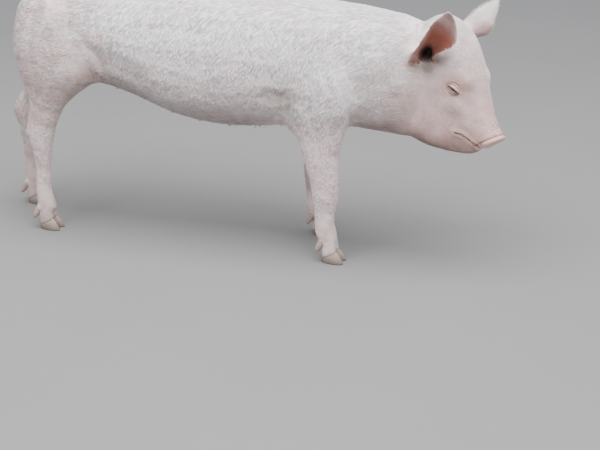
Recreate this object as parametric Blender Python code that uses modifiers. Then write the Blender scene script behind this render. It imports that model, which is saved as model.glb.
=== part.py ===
"""A young farm pig of about ten weeks, life size, standing with its head lowered and turned a little to its right.

The pig walks along +X, its left side is +Y and +Z is up. Lengths are metres. Trunk, legs, neck, head and ears are
lofts fused into one skin, which thin cuts then part into the pieces that a person would name. Claws, dewclaws,
eyes and tail are made by themselves and sit in sockets of their own shape. The last step sets the whole on the
floor at the middle of its own box.
"""

import math

import bmesh
import bpy
import numpy as np
from mathutils import Matrix, Vector

# Driving dimensions
GAP = 0.0003  # between pieces that meet
BODY_VOXEL = 0.0040
SKIN_VOXEL = 0.0020
SKIN_FACES = 8900
THIN_FACTOR = 0.20  # how much the kept weight counts where the skin is thinned
SHARP_ANGLE = math.radians(50)

# Where the head is: the middle of the snout, and how far the head turns right, noses down and tilts
HEAD_PLACE = Vector((0.495, -0.043, 0.249))
HEAD_TURN = math.radians(-26)
HEAD_NOD = math.radians(37)
HEAD_TILT = math.radians(-4)

# The trunk from rump to nape: x, top, underside, half width, share of the height above the fullest width, middle's y
TRUNK = (
    (-0.452, 0.428, 0.378, 0.020, 0.50, 0),
    (-0.438, 0.450, 0.338, 0.052, 0.50, 0),
    (-0.405, 0.468, 0.305, 0.078, 0.50, 0),
    (-0.350, 0.480, 0.296, 0.094, 0.50, 0),
    (-0.280, 0.486, 0.296, 0.100, 0.50, 0),
    (-0.200, 0.488, 0.276, 0.106, 0.52, 0),
    (-0.120, 0.489, 0.245, 0.111, 0.54, 0),
    (-0.020, 0.488, 0.232, 0.114, 0.55, 0),
    (0.080, 0.486, 0.240, 0.110, 0.54, 0),
    (0.160, 0.483, 0.248, 0.101, 0.52, 0),
    (0.230, 0.478, 0.250, 0.090, 0.50, 0),
    (0.290, 0.470, 0.241, 0.081, 0.48, 0.004),
    (0.335, 0.460, 0.236, 0.072, 0.46, 0.010),
    (0.362, 0.446, 0.246, 0.060, 0.45, 0.014),
)

# The right front leg from shoulder to pastern: height, rear edge, front edge, distance from the middle, half width
FRONT_LEG = (
    (0.430, 0.140, 0.225, 0.052, 0.024),
    (0.400, 0.122, 0.240, 0.060, 0.036),
    (0.350, 0.110, 0.250, 0.067, 0.042),
    (0.300, 0.114, 0.246, 0.070, 0.039),
    (0.260, 0.123, 0.231, 0.070, 0.032),
    (0.210, 0.142, 0.219, 0.070, 0.027),
    (0.155, 0.160, 0.217, 0.070, 0.0235),
    (0.125, 0.165, 0.218, 0.070, 0.0225),
    (0.095, 0.170, 0.210, 0.070, 0.0175),
    (0.072, 0.171, 0.210, 0.070, 0.0180),
    (0.055, 0.172, 0.214, 0.070, 0.0200),
    (0.038, 0.180, 0.217, 0.070, 0.0172),
)

# The right hind leg from hip to pastern, in the same order
HIND_LEG = (
    (0.455, -0.400, -0.310, 0.050, 0.024),
    (0.420, -0.432, -0.280, 0.058, 0.042),
    (0.370, -0.438, -0.252, 0.063, 0.050),
    (0.320, -0.428, -0.254, 0.066, 0.046),
    (0.285, -0.414, -0.292, 0.067, 0.037),
    (0.250, -0.409, -0.330, 0.067, 0.029),
    (0.215, -0.415, -0.349, 0.067, 0.0235),
    (0.195, -0.419, -0.355, 0.067, 0.0225),
    (0.168, -0.408, -0.362, 0.067, 0.0190),
    (0.120, -0.400, -0.368, 0.067, 0.0150),
    (0.080, -0.400, -0.368, 0.067, 0.0158),
    (0.058, -0.398, -0.363, 0.067, 0.0185),
    (0.038, -0.391, -0.357, 0.067, 0.0168),
)

# How far the left legs stand behind the right ones, and the heights between which that grows
LEFT_FRONT_BACK = 0.060
LEFT_HIND_BACK = 0.090
FRONT_SWING = (0.38, 0.10)
HIND_SWING = (0.42, 0.19)
# The middle of the right feet on the floor
FRONT_FOOT = Vector((0.2085, 0.070, 0))
HIND_FOOT = Vector((-0.3700, 0.067, 0))

# Feet: the claw's toe, heel, width and the cleft between the two, and the slope of the coronet above them
CLAW_TOE = 0.0225
CLAW_HEEL = -0.0190
CLAW_WIDTH = 0.0172
CLAW_CLEFT = 0.0030
CLAW_SPLAY = math.radians(6)
CLAW_BEVEL = 0.0008
CORONET_HEIGHT = 0.0175
CORONET_SLOPE = math.radians(25)
DEWCLAW_ROOT = Vector((-0.0215, 0.0125, 0.0415))
DEWCLAW_AXIS = Vector((-0.42, 0.22, -0.88)).normalized()
DEWCLAW_LENGTH = 0.0210
DEWCLAW_RADIUS = 0.0062

# The head from snout to nape in its own frame, x forward along the mouth: x, top, underside, half width, share above
HEAD = (
    (0.000, 0.029, -0.011, 0.0190, 0.50, 0),
    (-0.012, 0.030, -0.015, 0.0205, 0.50, 0),
    (-0.035, 0.040, -0.025, 0.0245, 0.52, 0),
    (-0.060, 0.055, -0.045, 0.0310, 0.52, 0),
    (-0.090, 0.074, -0.080, 0.0400, 0.50, 0),
    (-0.115, 0.090, -0.105, 0.0480, 0.48, 0),
    (-0.140, 0.103, -0.119, 0.0550, 0.47, 0),
    (-0.165, 0.112, -0.122, 0.0600, 0.47, 0),
    (-0.190, 0.115, -0.115, 0.0620, 0.48, 0),
    (-0.215, 0.110, -0.102, 0.0620, 0.50, 0),
    (-0.240, 0.098, -0.082, 0.0560, 0.52, 0),
)
# The lower jaw, in the same order
JAW = (
    (-0.013, -0.018, -0.033, 0.0110, 0.50, 0),
    (-0.021, -0.004, -0.047, 0.0180, 0.50, 0),
    (-0.040, 0.008, -0.065, 0.0245, 0.50, 0),
    (-0.070, 0.018, -0.088, 0.0340, 0.50, 0),
    (-0.100, 0.020, -0.106, 0.0455, 0.50, 0),
    (-0.130, 0.020, -0.117, 0.0530, 0.50, 0),
)
# The line of the mouth seen from the side, x and z in the head's frame, from under the snout to its corner
MOUTH = ((-0.0095, -0.0185), (-0.022, -0.0170), (-0.036, -0.0175), (-0.049, -0.0195), (-0.060, -0.0255))
MOUTH_DEPTH = 0.0036
LIP_SWELL = 0.0016

# The snout's disc in the head's frame
DISC_WIDE, DISC_HIGH, DISC_THICK = 0.0250, 0.0220, 0.0050
DISC_PLACE = Vector((0.000, 0.0, 0.0095))
DISC_NOD = math.radians(21)
NOSTRIL_OUT = 0.0098

# Eyes: the ball's middle, where the lids open and the length and height of the slit
EYE_PLACE = Vector((-0.112, 0.0350, 0.036))
EYE_RADIUS = 0.0102
EYE_LOOKS = Vector((0.30, 0.90, 0.28)).normalized()
EYE_SLIT = (0.0120, 0.0024)

# Each ear: side, root, direction of the tip, direction that its cup faces (side 1 is the left)
EARS = (
    (-1, Vector((-0.184, -0.054, 0.058)), Vector((0.00, -0.40, 0.92)), Vector((0.45, -0.86, -0.10))),
    (1, Vector((-0.198, 0.044, 0.049)), Vector((-0.04, 0.34, 0.94)), Vector((0.02, 0.99, -0.10))),
)
EAR_LENGTH = 0.122
EAR_THICK = 0.0050
# Along the ear from its funnel in the head to its tip: share of its length, half width, half the angle that its cup
# wraps round, how far forward and how far out its middle lies, and how much higher its front edge starts
EAR = (
    (-0.22, 0.0120, 2.30, -0.006, -0.012, 0.006),
    (-0.10, 0.0185, 2.15, -0.009, -0.001, 0.022),
    (0.02, 0.0225, 1.90, -0.008, 0.007, 0.036),
    (0.14, 0.0265, 1.70, -0.0045, 0.008, 0.034),
    (0.29, 0.0305, 1.40, 0.001, 0.008, 0.021),
    (0.48, 0.0305, 1.05, 0.0035, 0.004, 0.008),
    (0.70, 0.0215, 0.80, 0.005, 0.001, 0.000),
    (0.88, 0.0120, 0.60, 0.003, 0.000, 0.000),
    (1.00, 0.0028, 0.45, 0.000, 0.000, 0.000),
)
EAR_LOBE = 0.45  # how much more than the slant its rear edge hangs down
EAR_CUP_OPEN = 0.020
EAR_BOSS = (Vector((-0.006, -0.006, -0.022)), (0.026, 0.019, 0.026))  # ahead, out and along the ear
# The cut that parts the ear from the head: how far from the root, and how much it rises forward
EAR_CUT = 0.033
EAR_CUT_RISE = math.radians(15)
EAR_CUT_BOX = ((-0.036, 0.048), (-0.0155, 0.060), 0.150)  # how far behind and ahead, in and out, and up it reaches

TAIL_ROOT = Vector((-0.432, 0.0, 0.452))
TAIL_RADIUS = 0.0080
TAIL_CURL = 0.0200


def smooth_rows(knots, count):
    """Rows along a smooth curve through the knots, count to each stretch (Catmull-Rom)."""
    table = np.array(knots, float)
    ends = np.vstack([2 * table[0] - table[1], table, 2 * table[-1] - table[-2]])
    rows = []
    for k in range(len(table) - 1):
        a, b, c, d = ends[k : k + 4]
        for t in np.arange(count) / count:
            bend = (2 * a - 5 * b + 4 * c - d) * t**2 + (3 * b - a - 3 * c + d) * t**3
            rows.append(0.5 * (2 * b + (c - a) * t + bend))
    return np.vstack([rows, table[-1]])


def fade(value, start, end):
    """From 0 at start to 1 at end, with no corner at either."""
    t = np.clip((np.asarray(value, float) - start) / (end - start), 0, 1)
    return t * t * (3 - 2 * t)


def new_object(name, mesh, where):
    made = bpy.data.objects.new(name, mesh)
    where.objects.link(made)
    return made


def loft(rings):
    """A closed mesh through rings of the same number of points, with both ends filled."""
    mesh = bmesh.new()
    rows = [[mesh.verts.new(point) for point in ring] for ring in rings]
    sides = len(rows[0])
    for low, high in zip(rows, rows[1:]):
        for k in range(sides):
            mesh.faces.new((low[k], low[(k + 1) % sides], high[(k + 1) % sides], high[k]))
    mesh.faces.new(rows[0])
    mesh.faces.new(rows[-1])
    bmesh.ops.recalc_face_normals(mesh, faces=mesh.faces)
    made = bpy.data.meshes.new("loft")
    mesh.to_mesh(made)
    mesh.free()
    return made


def oval(count, squareness=2.0):
    """Points round a superellipse of radius 1: (across, up) pairs."""
    angles = np.arange(count) * 2 * math.pi / count
    cosines, sines = np.cos(angles), np.sin(angles)
    power = 2 / squareness
    return np.stack([np.sign(cosines) * abs(cosines) ** power, np.sign(sines) * abs(sines) ** power], 1)


def upright_rings(table, squareness):
    """Rings across the x axis from rows of x, top, underside, half width, share above and the middle's y."""
    rings = []
    for x, top, under, half_width, share, aside in smooth_rows(table, 4):
        middle = top - (top - under) * share
        ring = oval(32, squareness)
        rise = np.where(ring[:, 1] > 0, top - middle, middle - under)
        rings.append(np.stack([np.full(len(ring), x), aside + ring[:, 0] * half_width, middle + ring[:, 1] * rise], 1))
    return rings


def leg_rings(table, side, back, swing):
    """Level rings down a leg. side is -1 on the right and 1 on the left, back how far the foot stands back."""
    rings = []
    for height, rear, front, out, half_width in smooth_rows(table, 4):
        ring = oval(24, 2.2)
        along = (rear + front) / 2 - back * float(fade(height, *swing)) + ring[:, 0] * (front - rear) / 2
        rings.append(np.stack([along, side * out + ring[:, 1] * half_width, np.full(len(ring), height)], 1))
    return rings


def ball(centre, radii, turn=None, across=24, up=16):
    """A closed ellipsoid."""
    mesh = bmesh.new()
    place = Matrix.Translation(centre) @ (turn or Matrix.Identity(4)) @ Matrix.Diagonal((*radii, 1))
    bmesh.ops.create_uvsphere(mesh, u_segments=across, v_segments=up, radius=1, matrix=place)
    made = bpy.data.meshes.new("ball")
    mesh.to_mesh(made)
    mesh.free()
    return made


def facing(place, axis):
    """A frame at a place whose z runs along the axis."""
    return Matrix.Translation(place) @ axis.to_track_quat("Z", "Y").to_matrix().to_4x4()


def box(place, low, high):
    """A closed box between two corners of its own frame."""
    mesh = bmesh.new()
    middle = [(a + b) / 2 for a, b in zip(low, high)]
    size = [b - a for a, b in zip(low, high)]
    bmesh.ops.create_cube(mesh, size=1, matrix=place @ Matrix.Translation(middle) @ Matrix.Diagonal((*size, 1)))
    made = bpy.data.meshes.new("box")
    mesh.to_mesh(made)
    mesh.free()
    return made


def evaluated(obj):
    """The object's mesh with its modifiers applied. The object is removed."""
    graph = bpy.context.evaluated_depsgraph_get()
    mesh = bpy.data.meshes.new_from_object(obj.evaluated_get(graph))
    bpy.data.objects.remove(obj)
    return mesh


def fused(meshes, voxel):
    """One closed skin round overlapping closed meshes, with faces about a voxel across."""
    joined = bmesh.new()
    for mesh in meshes:
        joined.from_mesh(mesh)
    whole = bpy.data.meshes.new("fused")
    joined.to_mesh(whole)
    joined.free()
    block = new_object("fused", whole, scene_collection)
    remesh = block.modifiers.new("remesh", "REMESH")
    remesh.mode = "VOXEL"
    remesh.voxel_size = voxel
    return evaluated(block)


def points_of(mesh):
    points = np.empty(len(mesh.vertices) * 3)
    mesh.vertices.foreach_get("co", points)
    return points.reshape(-1, 3)


def normals_of(mesh):
    normals = np.empty(len(mesh.vertices) * 3)
    mesh.vertices.foreach_get("normal", normals)
    return normals.reshape(-1, 3)


def set_points(mesh, points):
    mesh.vertices.foreach_set("co", points.astype(np.float32).ravel())
    mesh.update()


def in_frame(points, frame):
    """The points as the frame sees them."""
    back = np.array(frame.inverted())
    return points @ back[:3, :3].T + back[:3, 3]


def relax(mesh, rounds, weight):
    """Moves each point towards the mean of its neighbours, by its own weight from 0 to 1, rounds times."""
    edges = np.empty(len(mesh.edges) * 2, np.int32)
    mesh.edges.foreach_get("vertices", edges)
    edges = edges.reshape(-1, 2)
    points = points_of(mesh)
    count = np.bincount(edges.ravel(), minlength=len(points))[:, None]
    for _ in range(rounds):
        total = np.zeros_like(points)
        for here, there in ((0, 1), (1, 0)):
            for axis in range(3):
                total[:, axis] += np.bincount(edges[:, here], points[edges[:, there], axis], len(points))
        points = points + weight[:, None] * (total / count - points)
    set_points(mesh, points)


def near_line(points, line, width):
    """1 on a line through the given places, falling off smoothly with distance over the width."""
    nearest = np.full(len(points), np.inf)
    for start, end in zip(line, line[1:]):
        start, along = np.array(start), np.array(end) - np.array(start)
        share = np.clip((points - start) @ along / (along @ along), 0, 1)
        nearest = np.minimum(nearest, np.linalg.norm(points - start - share[:, None] * along, axis=1))
    return np.exp(-((nearest / width) ** 2))


def ear_frame(ear):
    """Unit directions of an ear: across it (forward on the left one), out of its cup and to its tip."""
    axis = ear[2].normalized()
    opens = (ear[3] - ear[3].dot(axis) * axis).normalized()
    return opens.cross(axis), opens, axis


def ear_place(ear):
    """An ear's frame in the head's: x across it, y out of its cup and z to its tip."""
    return Matrix.Translation(ear[1]) @ Matrix(ear_frame(ear)).transposed().to_4x4()


def ear_arc(ear, row, offset):
    """Points of one arc round an ear's cup, offset outwards from the middle of its wall."""
    across, opens, axis = ear_frame(ear)
    share, half_width, wrap, forward, out, slant = row
    radius = half_width / math.sin(min(wrap, math.pi / 2))
    arc = []
    for angle in np.linspace(-wrap, wrap, 15):
        wall = EAR_THICK * (1 - 0.25 * (abs(angle) / wrap) ** 3) * (1.35 - 0.5 * share)
        reach = radius + offset * wall
        drop = math.sin(0.9 * angle) - EAR_LOBE * float(fade(-angle, 0.4, 1.6))
        along = axis * (EAR_LENGTH * share + slant * drop)
        ahead = across * ear[0] * (forward + reach * math.sin(angle))
        arc.append(ear[1] + along + ahead + opens * (out + 0.6 * radius - reach * math.cos(angle)))
    return arc


def ear_rings(ear):
    """Crescent rings from an ear's root to its tip, in the head's frame."""
    return [ear_arc(ear, row, 0.5) + ear_arc(ear, row, -0.5)[::-1] for row in smooth_rows(EAR, 4)]


def ear_hollow(ear):
    """The space in the lower part of an ear's cup, which narrows into its canal."""
    outwards = ear_frame(ear)[1]
    rings = []
    for row in [row for row in smooth_rows(EAR, 4) if row[0] < 0.45]:
        arc = ear_arc(ear, row, -0.4)
        reach = EAR_CUP_OPEN * float(fade(row[0], -0.24, -0.08))
        rings.append(arc + [point + outwards * reach for point in arc[::-1]])
    return loft(rings)


def digit_rings(foot, side):
    """Level rings of the flesh above one claw, from the pastern to just under the coronet."""
    rings = []
    for height, middle, half_long, half_wide in (
        (0.060, -0.012, 0.0138, 0.0088),
        (0.040, -0.009, 0.0150, 0.0096),
        (0.025, -0.007, 0.0158, 0.0095),
        (0.006, -0.005, 0.0162, 0.0094),
    ):
        spread = (CLAW_WIDTH + CLAW_CLEFT) / 2 - 0.0030 * float(fade(height, 0.02, 0.06))
        ring = oval(20, 2.2)
        along = foot.x + middle + ring[:, 0] * half_long
        across = foot.y + side * spread + ring[:, 1] * half_wide
        rings.append(np.stack([along, across, np.full(len(ring), height)], 1))
    return rings


def claw_frame(foot, side):
    """A claw's frame: on the floor under its middle, with x to the toe."""
    place = foot + Vector((0, side * (CLAW_WIDTH + CLAW_CLEFT) / 2, 0))
    return Matrix.Translation(place) @ Matrix.Rotation(side * CLAW_SPLAY, 4, "Z")


def claw(foot, side):
    """One half of a hoof: a flat sole, walls that lean in to the coronet, and a level gap under the flesh."""
    count = 14
    angles = np.arange(count) * 2 * math.pi / count
    middle, half_long = (CLAW_TOE + CLAW_HEEL) / 2, (CLAW_TOE - CLAW_HEEL) / 2
    # Seen from above the claw is blunt at the heel and narrows to the toe, and its inner wall is the flatter
    along = np.cos(angles)
    across = np.sin(angles) * (1 - 0.30 * along**3)
    across = np.where(across * side < 0, across * 0.86, across)
    rings = []
    for rise, inset in ((0, CLAW_BEVEL), (CLAW_BEVEL, 0), (0.5, 0), (1, 0)):
        share = rise if rise > CLAW_BEVEL else 0
        x = middle + along * (half_long - inset)
        y = across * (CLAW_WIDTH / 2 - inset) * (1 - 0.06 * share)
        x = x * (1 - share) + share * (-0.0062 + along * 0.0150)
        ahead = x * math.cos(CLAW_SPLAY) - y * math.sin(side * CLAW_SPLAY)
        top = CORONET_HEIGHT - 1.2 * GAP + math.tan(CORONET_SLOPE) * ahead
        z = share * top if share else np.full(count, rise)
        rings.append(np.stack([x, y, z], 1))
    mesh = loft(rings)
    mesh.transform(claw_frame(foot, side))
    return mesh


def dewclaw(foot, side, extra=0.0):
    """A small blunt cone of horn behind the pastern, or with extra the socket that it sits in."""
    root = foot + Vector((DEWCLAW_ROOT.x, side * DEWCLAW_ROOT.y, DEWCLAW_ROOT.z))
    axis = Vector((DEWCLAW_AXIS.x, side * DEWCLAW_AXIS.y, DEWCLAW_AXIS.z))
    rings = []
    for share in (0, 0.45, 0.75, 0.93, 1.0):
        radius = DEWCLAW_RADIUS * math.sqrt(1 - (0.97 * share) ** 2.6) + extra
        height = DEWCLAW_LENGTH * share + extra * (1 if share == 1 else -1 if share == 0 else 0)
        ring = oval(10)
        rings.append(np.stack([ring[:, 0] * radius, ring[:, 1] * radius, np.full(10, height)], 1))
    mesh = loft(rings)
    mesh.transform(facing(root, axis))
    return mesh


def tail_line():
    """Points along the tail: out of the rump, then once and a bit round in a curl that drifts to the left."""
    start = math.radians(145)
    out = Vector((math.cos(start), 0, math.sin(start)))
    straight = 0.045
    centre = TAIL_ROOT + out * straight + Vector((out.z, 0, -out.x)) * TAIL_CURL
    points = [TAIL_ROOT + out * straight * k / 4 for k in range(4)]
    turns = 1.3
    for k in range(29):
        share = k / 28
        angle = start + math.pi / 2 - share * turns * 2 * math.pi
        curl = TAIL_CURL * (1 - 0.25 * share)
        aside = 0.026 * float(fade(share, 0.15, 1.0))
        points.append(centre + Vector((math.cos(angle) * curl, aside, math.sin(angle) * curl)))
    return points


def tail(extra=0.0):
    """The tail as a bevelled curve that thins to its tip, or with extra the socket that its root sits in."""
    points = tail_line()
    curve = bpy.data.curves.new("tail", "CURVE")
    curve.dimensions = "3D"
    curve.bevel_depth = TAIL_RADIUS
    curve.bevel_resolution = 2
    curve.use_fill_caps = True
    spline = curve.splines.new("POLY")
    spline.points.add(len(points) - 1)
    for k, point in enumerate(points):
        spline.points[k].co = (*point, 1)
        spline.points[k].radius = 1 - 0.62 * (k / (len(points) - 1)) ** 1.3 + extra / TAIL_RADIUS
    if extra:
        spline.points[0].co = (*(points[0] - (points[1] - points[0]).normalized() * extra), 1)
    mesh = evaluated(new_object("tail", curve, scene_collection))
    doubles = bmesh.new()
    doubles.from_mesh(mesh)
    bmesh.ops.remove_doubles(doubles, verts=doubles.verts, dist=0.00001)
    doubles.to_mesh(mesh)
    doubles.free()
    return mesh


def skin_mesh():
    """Trunk, neck, legs, head and ears as one closed skin with the mouth's line and the lids' swell in it."""
    trunk = [loft(upright_rings(TRUNK, 2.25))]
    for side, front_back, hind_back in ((-1, 0, 0), (1, LEFT_FRONT_BACK, LEFT_HIND_BACK)):
        trunk.append(loft(leg_rings(FRONT_LEG, side, front_back, FRONT_SWING)))
        trunk.append(loft(leg_rings(HIND_LEG, side, hind_back, HIND_SWING)))
        # Ham, shoulder and elbow
        trunk.append(ball((-0.350 - 0.1 * hind_back, side * 0.060, 0.375), (0.078, 0.048, 0.090)))
        trunk.append(ball((0.172 - 0.1 * front_back, side * 0.058, 0.360), (0.068, 0.047, 0.095)))
        trunk.append(ball((0.128 - 0.3 * front_back, side * 0.072, 0.272), (0.020, 0.022, 0.030)))
    body = fused(trunk, BODY_VOXEL)
    points = points_of(body)
    relax(body, 50, 0.55 * fade(points[:, 2], 0.17, 0.27) + 0.04)

    pieces = [body]
    for foot in feet.values():
        for side in (-1, 1):
            pieces.append(loft(digit_rings(foot, side)))
            boss = foot + Vector((DEWCLAW_ROOT.x + 0.002, side * (DEWCLAW_ROOT.y - 0.001), DEWCLAW_ROOT.z + 0.001))
            pieces.append(ball(boss, (0.0090, 0.0085, 0.0100)))
    head = [loft(upright_rings(HEAD, 2.3)), loft(upright_rings(JAW, 2.3))]
    for side in (-1, 1):
        # Jowl, cheekbone and brow
        head.append(ball((-0.155, side * 0.033, -0.058), (0.062, 0.035, 0.054)))
        head.append(ball((-0.120, side * 0.031, 0.014), (0.050, 0.0170, 0.022)))
        head.append(ball((-0.122, side * 0.027, 0.060), (0.034, 0.0155, 0.018)))
    disc = Matrix.Rotation(DISC_NOD, 4, "Y")
    disc_rings = []
    for along, size in ((-0.9, 0.86), (-0.35, 0.99), (0.35, 0.99), (0.8, 0.90)):
        ring = oval(40, 2.15)
        wide, high = ring[:, 0] * DISC_WIDE * size, ring[:, 1] * DISC_HIGH * size
        disc_rings.append(np.stack([np.full(40, along * DISC_THICK / 1.3), wide, high], 1))
    disc_mesh = loft(disc_rings)
    disc_mesh.transform(Matrix.Translation(DISC_PLACE) @ disc)
    head.append(disc_mesh)
    for ear in EARS:
        boss = ball(EAR_BOSS[0] * Vector((ear[0], 1, 1)), EAR_BOSS[1])
        boss.transform(ear_place(ear))
        head.append(boss)
    skull = fused(head, 0.003)
    relax(skull, 12, np.full(len(skull.vertices), 0.5))
    for ear in EARS:
        skull = boolean(skull, "DIFFERENCE", fused([ear_hollow(ear)], 0.003))
    head = [skull] + [loft(ear_rings(ear)) for ear in EARS]
    for mesh in head:
        mesh.transform(HEAD_FRAME)
    skin = fused(pieces + head, SKIN_VOXEL)

    points = points_of(skin)
    local = in_frame(points, HEAD_FRAME)
    face = fade(local[:, 0], -0.16, -0.11) * fade(points[:, 0], 0.30, 0.34)
    nape = fade(points[:, 0], 0.24, 0.29) * (1 - face) * (1 - fade(local[:, 2], 0.105, 0.120))
    ears = fade(local[:, 2], 0.105, 0.125) * fade(points[:, 0], 0.30, 0.34)
    feet_low = 1 - fade(points[:, 2], 0.05, 0.09)
    relax(skin, 14, np.clip(0.45 - 0.15 * ears - 0.15 * feet_low - 0.25 * fade(local[:, 0], -0.03, -0.01), 0.1, 1))
    relax(skin, 70, 0.6 * nape)

    # The line of the mouth sinks in between lips that swell a little, and lids swell round each eye
    points = points_of(skin)
    local = in_frame(points, HEAD_FRAME)
    on_face = fade(points[:, 0], 0.36, 0.38) * fade(local[:, 0], -0.10, -0.09)
    side_view = local[:, [0, 2]]
    groove = near_line(side_view, MOUTH, 0.0019) * on_face
    lips = near_line(side_view, MOUTH, 0.0075) * on_face
    swell = LIP_SWELL * lips - (MOUTH_DEPTH + LIP_SWELL) * groove
    for side in (-1, 1):
        eye = EYE_PLACE * Vector((1, side, 1)) + EYE_LOOKS * Vector((1, side, 1)) * EYE_RADIUS
        lids = np.linalg.norm((local - np.array(eye)) / (0.018, 0.012, 0.011), axis=1)
        swell = swell + 0.0034 * np.exp(-(lids**2))
    set_points(skin, points + normals_of(skin) * swell[:, None])
    return skin


def thinned(mesh, faces, keep):
    """The mesh cut down to about this many triangles, with more of them left where keep is near 1."""
    block = new_object("thinned", mesh, scene_collection)
    group = block.vertex_groups.new(name="thin")
    for step in range(11):
        chosen = np.nonzero(np.round(keep * 10) == step)[0]
        group.add(chosen.tolist(), 1 - step / 10, "REPLACE")
    decimate = block.modifiers.new("decimate", "DECIMATE")
    decimate.use_collapse_triangulate = True
    decimate.vertex_group = "thin"
    decimate.vertex_group_factor = THIN_FACTOR
    decimate.ratio = faces / (2 * len(mesh.polygons))
    return evaluated(block)


def boolean(mesh, operation, other):
    """The first mesh cut by, or kept inside, the other."""
    tool = new_object("cutter", other.copy(), cutters)
    block = new_object("cut", mesh.copy(), scene_collection)
    cut = block.modifiers.new("cut", "BOOLEAN")
    cut.operation = operation
    cut.object = tool
    cut.solver = "EXACT"
    made = evaluated(block)
    bpy.data.objects.remove(tool)
    return made


def largest(mesh):
    """The mesh's largest closed piece alone, merged and in triangles."""
    work = bmesh.new()
    work.from_mesh(mesh)
    bmesh.ops.remove_doubles(work, verts=work.verts, dist=0.00002)
    bmesh.ops.dissolve_degenerate(work, edges=work.edges, dist=0.00002)
    bmesh.ops.triangulate(work, faces=work.faces)
    left = set(work.verts)
    groups = []
    while left:
        group = [left.pop()]
        for vertex in group:
            for edge in vertex.link_edges:
                other = edge.other_vert(vertex)
                if other in left:
                    left.remove(other)
                    group.append(other)
        groups.append(group)
    groups.sort(key=len, reverse=True)
    for group in groups[1:]:
        bmesh.ops.delete(work, geom=group, context="VERTS")
    made = bpy.data.meshes.new("piece")
    work.to_mesh(made)
    work.free()
    return made


def parted(mesh, region):
    """Two pieces of a mesh: what is inside a region and what is outside it, a gap apart."""
    return largest(boolean(mesh, "INTERSECT", region(0))), largest(boolean(mesh, "DIFFERENCE", region(GAP)))


def half_space(place, normal):
    """A region function: all near enough on the normal's side of a plane, grown towards the other side."""
    frame = facing(place, normal.normalized())
    return lambda grow: box(frame, (-0.16, -0.16, -grow), (0.16, 0.16, 0.30))


def leg_region(centre, radius, inner, side, lean):
    """A region function: under a round arch round the top of a leg, outwards from an upright plane inside it."""

    def region(grow):
        ring = []
        for k in range(25):
            angle = math.pi * k / 24
            reach = radius + grow
            ring.append((centre[0] + reach * math.cos(angle), centre[1] + reach * math.sin(angle)))
        ring.append((centre[0] - radius - grow - lean, -0.05))
        ring.append((centre[0] + radius + grow + lean * 0.3, -0.05))
        rings = [[(x, side * y, z) for x, z in ring] for y in (inner - grow, 0.25)]
        return loft(rings)

    return region


def ear_region(ear):
    """A region function: round one ear above its root."""
    middle = Matrix.Translation((0, 0, EAR_CUT)) @ Matrix.Rotation(-ear[0] * EAR_CUT_RISE, 4, "Y")
    frame = HEAD_FRAME @ ear_place(ear) @ middle
    rear, front = sorted(reach * ear[0] for reach in EAR_CUT_BOX[0])
    low, high = EAR_CUT_BOX[1]
    return lambda grow: box(frame, (rear, low, -grow), (front, high, EAR_CUT_BOX[2]))


def material(name, colour, roughness):
    made = bpy.data.materials.new(name)
    made.use_nodes = True
    shader = made.node_tree.nodes["Principled BSDF"]
    shader.inputs["Base Color"].default_value = (*colour, 1)
    shader.inputs["Roughness"].default_value = roughness
    return made


for old in list(bpy.data.objects):
    bpy.data.objects.remove(old)
scene_collection = bpy.context.scene.collection
pig = bpy.data.collections.new("young_pig")
cutters = bpy.data.collections.new("cutters")
scene_collection.children.link(pig)
scene_collection.children.link(cutters)

HEAD_FRAME = (
    Matrix.Translation(HEAD_PLACE)
    @ Matrix.Rotation(HEAD_TURN, 4, "Z")
    @ Matrix.Rotation(HEAD_NOD, 4, "Y")
    @ Matrix.Rotation(HEAD_TILT, 4, "X")
)
SKIN = material("skin", (0.78, 0.66, 0.61), 0.6)
SNOUT = material("bare_snout", (0.72, 0.50, 0.46), 0.5)
HORN = material("horn", (0.42, 0.36, 0.30), 0.45)
EYE = material("eye", (0.05, 0.03, 0.02), 0.1)

feet = {}
for side, word, front_back, hind_back in ((-1, "right", 0, 0), (1, "left", LEFT_FRONT_BACK, LEFT_HIND_BACK)):
    feet["front_" + word] = Vector((FRONT_FOOT.x - front_back, side * FRONT_FOOT.y, 0))
    feet["hind_" + word] = Vector((HIND_FOOT.x - hind_back, side * HIND_FOOT.y, 0))

dense = skin_mesh()
places = points_of(dense)
local = in_frame(places, HEAD_FRAME)
keep = fade(local[:, 0], -0.26, -0.20) * fade(places[:, 0], 0.28, 0.32) * 0.48
keep = np.maximum(keep, 0.5 * (1 - fade(places[:, 2], 0.06, 0.12)))
rest = thinned(dense, SKIN_FACES, keep)

nodes = {}
# Ears first, then the legs, the head and the neck; what is left is the torso
for ear in EARS:
    word = "left" if ear[0] > 0 else "right"
    nodes["ear_" + word], rest = parted(rest, ear_region(ear))
for word, side, back_front, back_hind in (("right", -1, 0, 0), ("left", 1, LEFT_FRONT_BACK, LEFT_HIND_BACK)):
    front = (0.181 - 0.25 * back_front, 0.290)
    hind = (-0.345 - 0.30 * back_hind, 0.335)
    nodes["leg_front_" + word], rest = parted(
        rest, leg_region(front, 0.078 + 0.1 * back_front, 0.030, side, 0.02 + back_front)
    )
    nodes["leg_hind_" + word], rest = parted(
        rest, leg_region(hind, 0.098 + 0.1 * back_hind, 0.012, side, 0.05 + back_hind)
    )
nape = HEAD_FRAME @ Vector((-0.197, 0, 0.0))
behind = HEAD_FRAME.to_3x3() @ Vector((1, 0, 0.35))
nodes["head"], rest = parted(rest, half_space(nape, behind))
nodes["neck"], nodes["torso"] = parted(rest, half_space(Vector((0.236, 0, 0.37)), Vector((1, 0, 0.28))))
disc_frame = HEAD_FRAME @ Matrix.Translation(DISC_PLACE) @ Matrix.Rotation(DISC_NOD, 4, "Y")
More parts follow.
